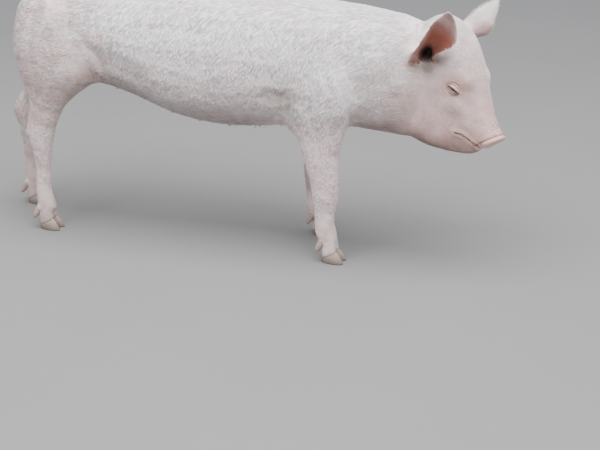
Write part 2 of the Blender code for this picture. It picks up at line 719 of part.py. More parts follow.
nodes["snout_disc"], nodes["head"] = parted(
    nodes["head"], lambda grow: box(disc_frame, (-DISC_THICK * 0.85 - grow, -0.035, -0.028), (0.03, 0.035, 0.03))
)

# Nostrils go in from the disc's face
for side in (-1, 1):
    mouth_of = DISC_PLACE + Vector((0.004, side * NOSTRIL_OUT, 0.002))
    hole = ball((0, 0, 0), (0.0085, 0.0036, 0.0046))
    hole.transform(HEAD_FRAME @ Matrix.Translation(mouth_of) @ Matrix.Rotation(DISC_NOD, 4, "Y"))
    for name in ("snout_disc", "head"):
        nodes[name] = boolean(nodes[name], "DIFFERENCE", hole)
# Each eye is a ball in a pocket that opens between the lids
for side, word in ((-1, "right"), (1, "left")):
    centre = EYE_PLACE * Vector((1, side, 1))
    looks = EYE_LOOKS * Vector((1, side, 1))
    nodes["eye_" + word] = ball(HEAD_FRAME @ centre, (EYE_RADIUS,) * 3, None, 14, 9)
    pocket = ball(HEAD_FRAME @ centre, (EYE_RADIUS + 2 * GAP,) * 3, None, 14, 9)
    along = Vector((1, 0, 0.16))
    along = (along - along.dot(looks) * looks).normalized()
    turn = Matrix((along, looks, along.cross(looks))).transposed().to_4x4()
    slit = ball((0, 0, 0), (EYE_SLIT[0], 0.020, EYE_SLIT[1]), None, 16, 8)
    slit.transform(HEAD_FRAME @ Matrix.Translation(centre + looks * EYE_RADIUS) @ turn)
    nodes["head"] = boolean(boolean(nodes["head"], "DIFFERENCE", pocket), "DIFFERENCE", slit)

# Claws stand under a sloping cut through each foot, and dewclaws sit in sockets behind it
for name, foot in feet.items():
    leg = nodes["leg_" + name]
    level = Matrix.Translation(foot + Vector((0, 0, CORONET_HEIGHT))) @ Matrix.Rotation(-CORONET_SLOPE, 4, "Y")
    leg = boolean(leg, "DIFFERENCE", box(level, (-0.05, -0.05, -0.05), (0.05, 0.05, 0)))
    for side, word in ((-1, "right"), (1, "left")):
        nodes[f"claw_{name}_{word}"] = claw(foot, side)
        nodes[f"dewclaw_{name}_{word}"] = dewclaw(foot, side)
        leg = boolean(leg, "DIFFERENCE", dewclaw(foot, side, GAP))
    nodes["leg_" + name] = leg

nodes["tail"] = tail()
nodes["torso"] = boolean(nodes["torso"], "DIFFERENCE", tail(GAP))

for name, mesh in nodes.items():
    mesh = largest(mesh)
    made = new_object(name, mesh, pig)
    finish = HORN if "claw" in name else EYE if name.startswith("eye") else SNOUT if name == "snout_disc" else SKIN
    mesh.materials.clear()
    mesh.materials.append(finish)
    mesh.shade_smooth()
    mesh.set_sharp_from_angle(angle=SHARP_ANGLE)

# The whole stands on the floor, at the middle of its own box
everything = np.vstack([points_of(made.data) for made in pig.objects])
low, high = everything.min(0), everything.max(0)
FRAME_SHIFT = Vector((-(low[0] + high[0]) / 2, -(low[1] + high[1]) / 2, -low[2]))
for made in pig.objects:
    made.data.transform(Matrix.Translation(FRAME_SHIFT))
cutters.hide_render = True
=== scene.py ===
"""Looks of a young white farm pig: one hide over its solids, a coat of bristles, hooves and eyes.

The file follows the animal as a model maker would dress it: landmarks, hide, eyes, hooves, coat, and last
the floor, the lights and the camera. Lengths are metres, x runs from tail to snout, y to the pig's left and
z up.
"""

import math

import bmesh
import bpy
import numpy as np
from mathutils import Matrix, Vector


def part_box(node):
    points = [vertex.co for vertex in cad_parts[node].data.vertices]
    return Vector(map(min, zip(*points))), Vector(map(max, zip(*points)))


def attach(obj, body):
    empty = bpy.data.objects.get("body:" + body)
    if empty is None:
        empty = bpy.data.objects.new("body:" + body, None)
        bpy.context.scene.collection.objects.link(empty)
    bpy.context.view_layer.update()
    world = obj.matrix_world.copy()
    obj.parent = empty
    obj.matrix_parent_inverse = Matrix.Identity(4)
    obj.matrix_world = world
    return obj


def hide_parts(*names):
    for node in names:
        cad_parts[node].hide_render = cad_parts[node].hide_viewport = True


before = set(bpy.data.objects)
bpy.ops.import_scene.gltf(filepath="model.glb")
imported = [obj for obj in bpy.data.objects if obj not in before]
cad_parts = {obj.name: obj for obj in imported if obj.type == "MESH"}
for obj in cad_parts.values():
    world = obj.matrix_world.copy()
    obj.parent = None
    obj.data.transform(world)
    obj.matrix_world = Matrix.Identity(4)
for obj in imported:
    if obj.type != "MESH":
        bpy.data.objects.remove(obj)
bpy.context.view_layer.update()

# Landmarks
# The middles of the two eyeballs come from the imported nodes, and how the head turns, noses down and tilts
# is a real angle of the pose. Together they place the head's own frame: x forward along the mouth, y left
# and z to the poll.
HEAD_ANGLES = {"Z": -26, "Y": 37, "X": -4}
EYE_IN_HEAD = np.array([-0.112, 0.0350, 0.036])
SNOUT_IN_TRUNK = np.array([0.495, -0.043, 0.249])


def turned(angles):
    """Rotation matrix of turns about the named axes, the first one outermost, in degrees."""
    whole = Matrix.Identity(3)
    for axis, degrees in angles.items():
        whole = whole @ Matrix.Rotation(math.radians(degrees), 3, axis)
    return np.array(whole)


def middle_of(name):
    low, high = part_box(name)
    return np.array((low + high) / 2)


head_turn = turned(HEAD_ANGLES)
eyes = {1: middle_of("eye_left"), -1: middle_of("eye_right")}
snout = (eyes[1] + eyes[-1]) / 2 - head_turn @ (EYE_IN_HEAD * (1, 0, 1))
trunk = snout - SNOUT_IN_TRUNK


def in_head(points):
    """Points as the head's frame sees them."""
    return (points - snout) @ head_turn


def fade(value, start, end):
    """From 0 at start to 1 at end, with no corner at either."""
    share = np.clip((np.asarray(value, float) - start) / (end - start), 0, 1)
    return share * share * (3 - 2 * share)


def hump(value, middle, width):
    """1 at the middle, falling off smoothly on both sides over the width."""
    return np.exp(-(((value - middle) / width) ** 2))


def from_either(points, one, other):
    """Distance from the nearer of two places."""
    return np.minimum(np.linalg.norm(points - one, axis=1), np.linalg.norm(points - other, axis=1))


def unit(vectors):
    return vectors / np.maximum(np.linalg.norm(vectors, axis=-1, keepdims=True), 1e-12)


# The hide
# Live hide over all the flesh in one piece, so that no cut shows between trunk, legs, neck, head, ears and
# tail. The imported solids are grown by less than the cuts' width, joined by a voxel remesh and smoothed;
# then the folds, lids, lips and nostrils are pushed in and out along the surface, and the whole sinks by
# the depth of the coat.
FLESH = ["torso", "neck", "head", "snout_disc", "ear_left", "ear_right", "tail"]
FLESH += ["leg_front_left", "leg_front_right", "leg_hind_left", "leg_hind_right"]
HIDE_VOXEL = 0.0020
CUT_GROWTH = 0.00025
EYE_RADIUS = 0.0102
EYE_LOOKS = unit(np.array([0.30, 0.90, 0.28]))
HIDE_FACES = 88000


def points_of(mesh, what="co"):
    values = np.empty(len(mesh.vertices) * 3, np.float32)
    mesh.vertices.foreach_get(what, values)
    return values.reshape(-1, 3).astype(float)


def set_points(mesh, points):
    mesh.vertices.foreach_set("co", points.astype(np.float32).ravel())
    mesh.update()


def evaluated(obj):
    """The object's mesh with its modifiers applied. The object is removed."""
    graph = bpy.context.evaluated_depsgraph_get()
    mesh = bpy.data.meshes.new_from_object(obj.evaluated_get(graph))
    bpy.data.objects.remove(obj)
    return mesh


def shown(name, mesh):
    obj = bpy.data.objects.new(name, mesh)
    bpy.context.scene.collection.objects.link(obj)
    return obj


def filler(work, centre, radii, turn=np.eye(3)):
    """Adds a ball of filling to the flesh."""
    place = Matrix.Translation(centre) @ Matrix(turn.tolist()).to_4x4() @ Matrix.Diagonal((*radii, 1))
    bmesh.ops.create_uvsphere(work, u_segments=24, v_segments=14, radius=1, matrix=place)


def eye_frame(side):
    """An eye's directions as rows: along the slit to the inner corner, across it upwards, and outwards."""
    looks = EYE_LOOKS * (1, side, 1)
    along = np.array([1, 0, 0.16])
    along = unit(along - along @ looks * looks)
    up = np.cross(looks, along) * side
    return np.stack([along, up * np.sign(up[2]), looks]) @ head_turn.T


def in_eye(points, side):
    """Points from an eye's middle, along those directions."""
    return (points - eyes[side]) @ eye_frame(side).T


DISC_PLACE = np.array([0.000, 0.0, 0.0095])
DISC_TURN = head_turn @ turned({"Y": 21})
NOSTRIL_OUT = 0.0098
NOSTRIL_FILLING = (0.0048, 0.0045, 0.0055)
SLIT_FILLING = (0.0125, 0.0036, 0.0050)
POCKET_SPARE = 0.0012


def in_disc(points):
    """Points in the frame of the snout's disc: x out of its face, y left, z to its upper rim."""
    return (points - snout - head_turn @ DISC_PLACE) @ DISC_TURN


def flesh():
    """One closed surface round all the flesh, with the eye pockets and nostrils filled in."""
    work = bmesh.new()
    for name in FLESH:
        part = bmesh.new()
        part.from_mesh(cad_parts[name].data)
        bmesh.ops.remove_doubles(part, verts=part.verts, dist=0.00001)
        mesh = bpy.data.meshes.new("grown")
        part.to_mesh(mesh)
        part.free()
        set_points(mesh, points_of(mesh) + points_of(mesh, "normal") * CUT_GROWTH)
        work.from_mesh(mesh)
    for side in (-1, 1):
        directions = eye_frame(side)
        filler(work, eyes[side], (EYE_RADIUS + POCKET_SPARE,) * 3)
        front = eyes[side] + directions[2] * (EYE_RADIUS + 0.001)
        filler(work, front, SLIT_FILLING, directions.T)
        hole = np.array([-0.001, side * NOSTRIL_OUT, 0.002])
        filler(work, snout + head_turn @ DISC_PLACE + DISC_TURN @ hole, NOSTRIL_FILLING, DISC_TURN)
    whole = bpy.data.meshes.new("flesh")
    work.to_mesh(whole)
    work.free()
    block = shown("flesh", whole)
    remesh = block.modifiers.new("remesh", "REMESH")
    remesh.mode = "VOXEL"
    remesh.voxel_size = HIDE_VOXEL
    return evaluated(block)


def relax(mesh, rounds, weight):
    """Moves each point towards the mean of its neighbours, by its own weight from 0 to 1, rounds times."""
    edges = np.empty(len(mesh.edges) * 2, np.int32)
    mesh.edges.foreach_get("vertices", edges)
    here, there = edges.reshape(-1, 2).T
    points = points_of(mesh)
    count = np.bincount(edges, minlength=len(points))[:, None]
    for _ in range(rounds):
        total = np.empty_like(points)
        for axis in range(3):
            total[:, axis] = np.bincount(here, points[there, axis], len(points))
            total[:, axis] += np.bincount(there, points[here, axis], len(points))
        points = points + weight[:, None] * (total / count - points)
    set_points(mesh, points)


def from_line(points, line):
    """Distance from a line through the given places."""
    nearest = np.full(len(points), np.inf)
    for start, end in zip(line, line[1:]):
        start, along = np.array(start), np.array(end) - np.array(start)
        share = np.clip((points - start) @ along / (along @ along), 0, 1)
        nearest = np.minimum(nearest, np.linalg.norm(points - start - share[:, None] * along, axis=1))
    return nearest


def near_line(points, line, width):
    """1 on a line through the given places, falling off smoothly with distance over the width."""
    return hump(from_line(points, line), 0, width)


def thinned(mesh, faces, keep):
    """The mesh cut down to about this many triangles, with more of them left where keep is near 1."""
    block = shown("thinned", mesh)
    group = block.vertex_groups.new(name="thin")
    for step in range(11):
        group.add(np.nonzero(np.round(keep * 10) == step)[0].tolist(), 1 - step / 10, "REPLACE")
    decimate = block.modifiers.new("decimate", "DECIMATE")
    decimate.use_collapse_triangulate = True
    decimate.vertex_group = "thin"
    decimate.vertex_group_factor = 0.25
    decimate.ratio = faces / (2 * len(mesh.polygons))
    return evaluated(block)


def finer(mesh, chosen):
    """Halves every edge whose two ends are chosen."""
    work = bmesh.new()
    work.from_mesh(mesh)
    edges = [edge for edge in work.edges if chosen[edge.verts[0].index] and chosen[edge.verts[1].index]]
    bmesh.ops.subdivide_edges(work, edges=edges, cuts=1, use_grid_fill=True)
    bmesh.ops.triangulate(work, faces=work.faces)
    work.to_mesh(mesh)
    work.free()


# Where the features lie: the line of the mouth in the head's frame, from the side, and two rows of teats
MOUTH = ((-0.0085, -0.0185), (-0.022, -0.0170), (-0.036, -0.0175), (-0.049, -0.0195), (-0.060, -0.0255))
TEAT_ROWS = (-0.235, -0.180, -0.125, -0.070, -0.010, 0.050, 0.105)
TEATS = [(x, side * 0.034) for x in TEAT_ROWS for side in (-1, 1)]
# Each ear in the head's frame, 1 is the left: its root, the way to its tip and the way its cup opens
EAR_ROOTS = {-1: np.array([-0.184, -0.054, 0.058]), 1: np.array([-0.198, 0.044, 0.049])}
EAR_AXES = {-1: unit(np.array([0.00, -0.40, 0.92])), 1: unit(np.array([-0.04, 0.34, 0.94]))}
EAR_OPENS = {-1: np.array([0.45, -0.86, -0.10]), 1: np.array([0.02, 0.99, -0.10])}
EAR_LENGTH = 0.122
EAR_LOBE = 0.45


def in_ear(points, side):
    """Points in an ear's frame: x forward across it, y out of its cup, z to its tip."""
    axis = EAR_AXES[side]
    opens = unit(EAR_OPENS[side] - EAR_OPENS[side] @ axis * axis)
    return (in_head(points) - EAR_ROOTS[side]) @ np.stack([-side * np.cross(axis, opens), opens, axis]).T


def ear_way(directions, side):
    """Directions as an ear's frame sees them."""
    return in_ear(snout + directions, side) - in_ear(snout[None], side)


def in_cup(points, side):
    """Where places lie in an ear's cup: share of its length, angle round it (forward is plus), and depth.

    At share s the cup's wall is an arc of radius half / sin(wrap) round a middle line, and it slants along
    by slant (sin(0.9 angle) - lobe), so share and angle are found by rounds of solving.
    """
    x, y, z = in_ear(points, side).T
    share = z / EAR_LENGTH
    for _ in range(3):
        half, wrap, forward, out, slant = (np.interp(share, EAR_ROWS[0], row) for row in EAR_ROWS[1:])
        radius = half / np.sin(np.minimum(wrap, math.pi / 2))
        angle = np.arctan2(x - forward, out + 0.6 * radius - y)
        share = (z - slant * (np.sin(0.9 * angle) - EAR_LOBE * fade(-angle, 0.4, 1.6))) / EAR_LENGTH
    near = (np.hypot(x, y) < 0.06) & (np.abs(share - 0.4) < 0.7)
    return share, angle, np.where(near, radius - np.hypot(x - forward, out + 0.6 * radius - y), -1)


# Ears from root to tip: share of length, half width, half angle of the cup, shift forward and out, slant
EAR_ROWS = np.array(
    [
        (-0.22, 0.0120, 2.30, -0.006, -0.012, 0.006),
        (-0.10, 0.0185, 2.15, -0.009, -0.001, 0.022),
        (0.02, 0.0225, 1.90, -0.008, 0.007, 0.036),
        (0.14, 0.0265, 1.70, -0.0045, 0.008, 0.034),
        (0.29, 0.0305, 1.40, 0.001, 0.008, 0.021),
        (0.48, 0.0305, 1.05, 0.0035, 0.004, 0.008),
        (0.70, 0.0215, 0.80, 0.005, 0.001, 0.0),
        (0.88, 0.0120, 0.60, 0.003, 0.0, 0.0),
        (1.00, 0.0028, 0.45, 0.0, 0.0, 0.0),
    ]
).T


def from_canal(points, normals, side):
    """How far places are from an ear's canal, seen as the ear opens: 0 in its middle, 1 at its edge."""
    x, y, z = in_ear(points, side).T
    facing = ear_way(normals, side)[:, 1]
    far = np.hypot((x + 0.004) / 0.0115, (z - 0.0015) / 0.0200)
    return np.where((y > -0.015) & (y < 0.013) & (facing > -0.12), far, 9)


def to_eyes(points):
    return from_either(points, eyes[-1], eyes[1])


def to_teats(points):
    """How far each point is from the nearest teat, or 1 where it isn't on the belly."""
    nearest = np.full(len(points), 1.0)
    for x, y in TEATS:
        nearest = np.minimum(nearest, np.hypot(points[:, 0] - trunk[0] - x, points[:, 1] - y))
    return np.where((points[:, 2] < 0.33) & (points[:, 2] > 0.20), nearest, 1)


def to_features(points, eye, mouth, disc, teat):
    """Least distance to an eye, the mouth, the disc's middle and a teat, as shares of the given reaches."""
    local = in_head(points)
    to_mouth = from_line(local[:, [0, 2]], MOUTH)
    to_mouth = np.where((local[:, 0] > -0.09) & (np.linalg.norm(local, axis=1) < 0.12), to_mouth, 1)
    to_disc = np.linalg.norm(in_disc(points), axis=1)
    return np.min([to_eyes(points) / eye, to_mouth / mouth, to_disc / disc, to_teats(points) / teat], 0)


def mouth_height(local):
    """Height of the line of the mouth in the head's frame, at each place along it."""
    return np.interp(local[:, 0], *np.array(MOUTH)[::-1].T)


def lids(points, side):
    """Heights to add outwards near one eye, and how far open it is there.

    Within a soft oval the hide's height is drawn to that of a ball a lid thicker than the eyeball. The slit
    runs where |v| < h (1 - (u / l)^2), and in it the hide goes down under the eyeball's front. A rim swells
    on either side of it, and creases follow flatter arcs above and below that run out before the corners.
    """
    u, v, w = in_eye(points, side).T
    ahead = fade(w, 0.0, 0.004)
    near = ahead * (1 - fade(np.hypot(u / 1.35, v), 0.0070, 0.0165))
    ball = np.sqrt(np.maximum((EYE_RADIUS + LID_THICK) ** 2 - u**2 - v**2, (0.55 * EYE_RADIUS) ** 2))
    rise = near * (ball - w) * 0.7
    u = u + 0.0012
    bow = 1 - (u / SLIT_LONG) ** 2
    slit = SLIT_HIGH * np.maximum(bow, 0)
    v = v - 0.0010 * bow
    beside = 1 - fade(np.abs(u), 0.6 * SLIT_LONG, 1.15 * SLIT_LONG)
    rise = rise + 0.0009 * hump(np.abs(v) - slit, 0.0014, 0.0011) * (np.abs(v) > slit) * beside * ahead
    for offset, depth, reach, width in EYE_CREASES:
        arc = offset - np.sign(offset) * 0.0035 * (u / 0.014) ** 2
        inside = 1 - fade(np.abs(u + 0.001), 0.6 * reach, reach)
        rise = rise - depth * hump(v, arc, width) * inside * ahead
        rise = rise + 0.5 * depth * hump(v, arc * 1.35, 1.6 * width) * inside * ahead
    corner = hump(v, 0, 0.0010) * fade(np.abs(u), 0.85 * SLIT_LONG, SLIT_LONG)
    rise = rise - 0.0012 * corner * (1 - fade(np.abs(u), 1.1 * SLIT_LONG, 1.6 * SLIT_LONG)) * ahead
    open_share = (1 - fade(np.abs(v) - slit, -0.0003, 0.0004)) * fade(bow, 0.0, 0.10) * ahead
    under = np.sqrt(np.maximum(EYE_RADIUS**2 - (u - 0.0012) ** 2 - (v + 0.0010 * bow) ** 2, 0)) - 0.0016
    return rise * (1 - open_share) + open_share * (under - w), open_share


LID_THICK = 0.0026
SLIT_LONG = 0.0132
SLIT_HIGH = 0.0024
# Creases over and under an eye: how far from the slit, depth, half length and width
EYE_CREASES = (
    (0.0068, 0.0016, 0.0150, 0.0011),
    (0.0112, 0.0011, 0.0160, 0.0012),
    (0.0160, 0.0009, 0.0150, 0.0014),
    (0.0215, 0.0008, 0.0140, 0.0015),
    (0.0270, 0.0006, 0.0120, 0.0015),
    (-0.0056, 0.0011, 0.0130, 0.0010),
    (-0.0098, 0.0009, 0.0120, 0.0012),
)


def waves(points, length, seed, count=7):
    """Smooth random swell from -1 to 1: a sum of sine waves of about this length in random directions."""
    random = np.random.default_rng(seed)
    total = 0
    for _ in range(count):
        towards = unit(random.normal(size=3)) * 2 * math.pi / (length * random.uniform(0.7, 1.5))
        total = total + np.sin(points @ towards + random.uniform(0, 2 * math.pi))
    return total / count**0.5 / 1.5


hide = flesh()
places = points_of(hide)
local = in_head(places)
on_head = fade(local[:, 0], -0.24, -0.20) * fade(places[:, 0] - trunk[0], 0.28, 0.32)
on_ears = on_head * fade(local[:, 2], 0.085, 0.105)
low_legs = 1 - fade(places[:, 2], 0.14, 0.22)
relax(hide, 40, 0.5 * (1 - np.maximum(on_head, low_legs)))
relax(hide, 9, 0.45 - 0.15 * on_ears)
cheek = from_either(local, (-0.083, -0.040, 0.004), (-0.083, 0.040, 0.004))
relax(hide, 70, 0.5 * (1 - fade(cheek, 0.010, 0.026)) * (to_eyes(places) > 0.017))

detail = to_features(places, eye=0.030, mouth=0.014, disc=0.045, teat=0.010)
keep = np.maximum(np.maximum(0.55 * on_head, 0.35 * low_legs), 1 - fade(detail, 0.9, 1.2))
hide = thinned(hide, HIDE_FACES, keep)
for reach in (1.0, 0.72):
    finer(hide, to_features(points_of(hide), eye=0.026, mouth=0.009, disc=0.036, teat=0.008) < reach)
near = to_features(points_of(hide), eye=0.028, mouth=0.011, disc=0.040, teat=0.010)
relax(hide, 6, 0.5 * (1 - fade(near, 0.9, 1.1)))

# The snout's disc, the nostrils, the lips, the folds and the teats are pushed in or out along the surface
places = points_of(hide)
normals = points_of(hide, "normal")
local = in_head(places)
on_face = fade(places[:, 0] - trunk[0], 0.34, 0.37) * fade(local[:, 0], -0.21, -0.18)
out = np.zeros(len(places))

x, y, z = in_disc(places).T
on_disc = fade(x, -0.006, -0.003) * on_face * (np.hypot(y, z) < 0.04)
from_middle = np.hypot(y / 0.0250, z / 0.0220)
behind = hump(x, -0.0075, 0.0016) * on_face * (np.hypot(y, z) < 0.04)
out += on_disc * (0.0010 * hump(from_middle, 0.92, 0.10) - 0.0008 * (1 - fade(from_middle, 0.3, 0.8)))
out -= 0.0018 * behind
out -= 0.0006 * on_disc * hump(y, 0, 0.0012) * fade(-z, -0.004, 0.004)
bridge = fade(x, -0.045, -0.030) * (1 - fade(x, -0.012, -0.008)) * fade(z, 0.0, 0.015) * on_face
out -= 0.0008 * bridge * (0.5 + 0.5 * np.sin(x / 0.0052 * 2 * math.pi + 2.2 * waves(places, 0.03, 5))) ** 3
nostrils = np.zeros(len(places))
for side in (-1, 1):
    oval = np.hypot((y - side * NOSTRIL_OUT) / 0.0038, (z - 0.0015) / 0.0046)
    out += 0.0005 * on_disc * hump(oval, 1.35, 0.25)
    nostrils = np.maximum(nostrils, (1 - fade(oval, 0.70, 1.05)) * fade(x, -0.008, -0.004) * on_face)

side_view = local[:, [0, 2]]
before = fade(local[:, 0], -0.075, -0.065) * on_face
lip_line = near_line(side_view, MOUTH, 0.0012) * before
upper_lip = near_line(side_view, [(a, b + 0.004) for a, b in MOUTH], 0.0035)
lower_lip = near_line(side_view, [(a, b - 0.0045) for a, b in MOUTH], 0.0030)
out += before * (0.0013 * upper_lip - 0.0030 * lip_line)
out += before * 0.0008 * lower_lip
for back in (0.006, 0.011):
    fold = [(-0.058 - back, -0.016), (-0.062 - back, -0.026), (-0.060 - back, -0.036)]
    out -= 0.0006 * near_line(side_view, fold, 0.0016) * on_face

TEAT_HEIGHT = 0.0042
for x, y in TEATS:
    spot = np.hypot(places[:, 0] - trunk[0] - x, places[:, 1] - y)
    swell = TEAT_HEIGHT * np.exp(-((spot / 0.0036) ** 4)) * fade(-normals[:, 2], 0.2, 0.6)
    out += swell * (places[:, 2] > 0.20)

# Soft folds of the hide, the same on both sides: places on the right in the trunk's frame, width, depth
FOLDS = (
    (((-0.268, -0.090, 0.292), (-0.250, -0.098, 0.330), (-0.240, -0.100, 0.375)), 0.016, 0.0050),
    (((0.104, -0.085, 0.262), (0.120, -0.100, 0.305), (0.112, -0.105, 0.350)), 0.010, 0.0070),
    (((0.268, -0.060, 0.250), (0.292, -0.075, 0.300), (0.300, -0.078, 0.350)), 0.014, 0.0030),
    (((0.318, -0.060, 0.262), (0.330, -0.075, 0.310), (0.332, -0.075, 0.360)), 0.010, 0.0022),
    (((0.232, -0.050, 0.262), (0.240, -0.075, 0.300), (0.232, -0.082, 0.345)), 0.016, 0.0030),
    (((-0.330, -0.085, 0.292), (-0.300, -0.095, 0.318), (-0.268, -0.098, 0.330)), 0.010, 0.0018),
)
for line, width, depth in FOLDS:
    line = np.array(line) + (trunk[0], 0, 0)
    for side in (1, -1):
        out -= depth * near_line(places, line * (1, side, 1), width)
# Level wrinkles across the top of each fore leg, and soft swells of muscle and fat all over the trunk
foreleg = fade(places[:, 0] - trunk[0], 0.085, 0.120) * (1 - fade(places[:, 0] - trunk[0], 0.235, 0.260))
band = fade(places[:, 2], 0.205, 0.235) * (1 - fade(places[:, 2], 0.275, 0.295))
wrinkle = np.sin((places[:, 2] + 0.0012 * waves(places, 0.04, 3)) / 0.0085 * 2 * math.pi)
out -= 0.0012 * foreleg * band * fade(np.abs(normals[:, 1]), 0.2, 0.6) * (0.5 + 0.5 * wrinkle) ** 2
on_trunk = (1 - on_face) * fade(places[:, 2], 0.20, 0.30)
out += on_trunk * (0.0012 * waves(places, 0.11, 11) + 0.0005 * waves(places, 0.035, 12))
low_legs = (1 - fade(places[:, 2], 0.16, 0.22)) * fade(places[:, 2], 0.02, 0.05)
out += 0.0004 * low_legs * waves(places, 0.020, 13)

# The hide sinks, less on the face and the feet, and nostrils and canals go in along their own ways
COAT_DEPTH = 0.0012
NOSTRIL_DEPTH = 0.0085
CANAL_DEPTH = 0.011
out -= COAT_DEPTH * (1 - 0.75 * on_face) * (1 - 0.2 * low_legs)
moved = places + normals * out[:, None]
moved = moved - np.outer(NOSTRIL_DEPTH * nostrils, DISC_TURN[:, 0])
eye_slits = np.zeros(len(places))
canals = {}
for side in (-1, 1):
    canals[side] = from_canal(moved, normals, side)
    inwards = CANAL_DEPTH * (1 - fade(canals[side], 0.25, 0.90))
    moved = moved - np.outer(inwards, head_turn @ unit(EAR_OPENS[side]))
    rise, open_share = lids(moved, side)
    moved = moved + rise[:, None] * eye_frame(side)[2]
    eye_slits = np.maximum(eye_slits, open_share)
set_points(hide, moved)


def regions(points):
    """Shares from 0 to 1 of head, each ear, legs and tail at each place; the trunk has the rest."""
    from_tail = points[:, 0] - trunk[0]
    head = fade(in_head(points)[:, 0], -0.26, -0.18) * fade(from_tail, 0.30, 0.36)
    ears = {}
    for side in (-1, 1):
        x, y, z = in_ear(points, side).T
        ears[side] = head * fade(z, -0.012, 0.010) * (1 - fade(np.hypot(x, y), 0.046, 0.054))
    beside = 0
    for (top, side, foot), reach in LEGS.items():
        axis = foot + (top - foot) * fade(points[:, 2], 0.02, 0.27)
        near = (1 - fade(np.abs(from_tail - axis), reach, reach + 0.03)) * (points[:, 1] * side > 0)
        beside = np.maximum(beside, near)
    legs = (1 - head) * beside * (1 - fade(points[:, 2], 0.22, 0.31))
    curl = np.hypot(from_tail - TAIL_CURL_MIDDLE[0], points[:, 2] - TAIL_CURL_MIDDLE[1])
    tail = (1 - fade(curl, 0.030, 0.037)) * (np.abs(points[:, 1]) < 0.045)
    return head, ears, legs, tail


TAIL_CURL_MIDDLE = (-0.457, 0.494)
LEGS = {}
for end, top, reach in (("front", 0.165, 0.065), ("hind", -0.365, 0.085)):
    for side, name in ((-1, "right"), (1, "left")):
        LEGS[top, side, middle_of(f"claw_{end}_{name}_right")[0] - trunk[0] - 0.012] = reach
# Dusky skin and painted shade round each ear's root, out to the temple's hollow: place in the ear's frame,
# radius and strength
EAR_SHADES = (
    ((-0.020, 0.021, -0.014), 0.013, 0.50),
    ((0.004, 0.016, -0.019), 0.014, 0.55),
    ((0.018, 0.009, 0.004), 0.015, 0.60),
    ((0.030, 0.004, 0.018), 0.012, 0.30),
    ((-0.018, 0.027, -0.023), 0.011, 0.60),
    ((0.010, 0.019, -0.021), 0.018, 0.65),
)
# Soft smudges on both sides of the trunk: x and height in the trunk's frame, radius and strength
SMUDGES = (
    (-0.254, 0.454, 0.013, 0.35), (-0.338, 0.401, 0.018, 0.30), (-0.309, 0.419, 0.010, 0.30),
    (-0.239, 0.385, 0.016, 0.22), (-0.146, 0.341, 0.020, 0.22), (-0.044, 0.442, 0.012, 0.25),
    (-0.017, 0.328, 0.016, 0.28), (0.124, 0.326, 0.024, 0.42), (0.386, 0.336, 0.020, 0.30),
    (0.423, 0.303, 0.014, 0.35), (0.300, 0.420, 0.016, 0.20), (0.355, 0.300, 0.022, 0.30),
    (-0.213, 0.409, 0.024, 0.28), (0.140, 0.302, 0.014, 0.25),
)


def markings(points, normals):
    """Blush, and dirt with painted shade, at each place from 0 to 1: pink on thin skin, dirt and painted
    shade below, painted shade in hollows and folds, dirt on the smudges.
    """
    head, ears, legs, tail = regions(points)
    local = in_head(points)
    from_tail = points[:, 0] - trunk[0]
    below = fade(-normals[:, 2], 0.0, 0.85)
    chance = waves(points, 0.070, 21) + 0.6 * waves(points, 0.025, 22)
    muzzle = head * fade(local[:, 0], -0.085, -0.010)
    round_eyes = sum(hump(np.linalg.norm(points - eyes[side], axis=1), 0, 0.022) for side in (-1, 1))
    to_face = fade(local[:, 0], -0.34, -0.08) * fade(from_tail, 0.24, 0.36)
    blush = 0.04 + 0.10 * chance + 0.42 * legs + 0.52 * to_face + 0.32 * muzzle + 0.25 * round_eyes
    blush = blush - 0.12 * np.maximum(ears[-1], ears[1]) + 0.35 * tail
    blush = blush + 0.30 * fade(-normals[:, 2], -0.45, 0.45) * (1 - legs)
    blush = blush + 0.36 * fade(-from_tail, 0.20, 0.34) * (1 - legs)
    # Dirt and painted shade underneath the trunk, and a little darker toward the tail
    under = below * (1 - head) * (1 - legs) * 0.55 + 0.14 * fade(-from_tail, 0.20, 0.34)
    # Painted shade on the inner sides of the legs, where they face each other
    inner = legs * fade(-normals[:, 1] * np.sign(points[:, 1]), 0.2, 0.9)
    inner = inner * fade(points[:, 2], 0.05, 0.14) * 0.22
    # Painted shade under the head, on the jaw below the mouth line, which is pinker too, and in the groove
    # behind the disc
    chin = head * fade(-normals @ head_turn[:, 2], 0.10, 0.75) * 0.75
    jaw = head * fade(mouth_height(local) - local[:, 2], -0.001, 0.005) * fade(local[:, 0], -0.085, -0.055)
    jaw = jaw * (np.hypot(local[:, 1], local[:, 2]) < 0.08)
    chin, blush = np.maximum(chin, 0.45 * jaw), blush + 0.5 * jaw
    chin = np.maximum(chin, 0.45 * head * hump(in_disc(points)[:, 0], -0.0075, 0.0020))
    grime = under + inner + chin + 0.10 * to_face + 0.28 * (1 - fade(points[:, 2], 0.02, 0.09))
    grime = grime + 0.08 * chance + 0.18 * round_eyes
    # Dusky skin and painted shade round each ear's root, painted shade along the lids, and a tear stain at
    # each eye's inner corner
    for side in (-1, 1):
        for spot, radius, share in EAR_SHADES:
            grime = grime + share * hump(np.linalg.norm(in_ear(points, side) - spot, axis=1), 0, radius)
        seen = in_eye(points, side)
        tear = (seen - (0.0195, -0.0025, 0.002)) / (0.0050, 0.0018, 0.008)
        u, v, w = seen.T
        slit = 0.0010 * (1 - (u / SLIT_LONG) ** 2)
        rim = hump(v - slit, -0.0016, 0.0032)
        rim = rim * (1 - fade(np.abs(u), 0.8 * SLIT_LONG, 1.3 * SLIT_LONG)) * (w > 0)
        grime = grime + 0.35 * np.exp(-(tear**2).sum(1)) + 0.75 * rim
    for x, z, radius, share in SMUDGES:
        spot = hump(np.hypot(from_tail - x, points[:, 2] - z), 0, radius)
        grime = grime + share * spot * (0.75 + 0.35 * waves(points, 0.012, 23)) * (legs < 0.5)
    return np.clip(blush, 0, 1), np.clip(grime, 0, 1)


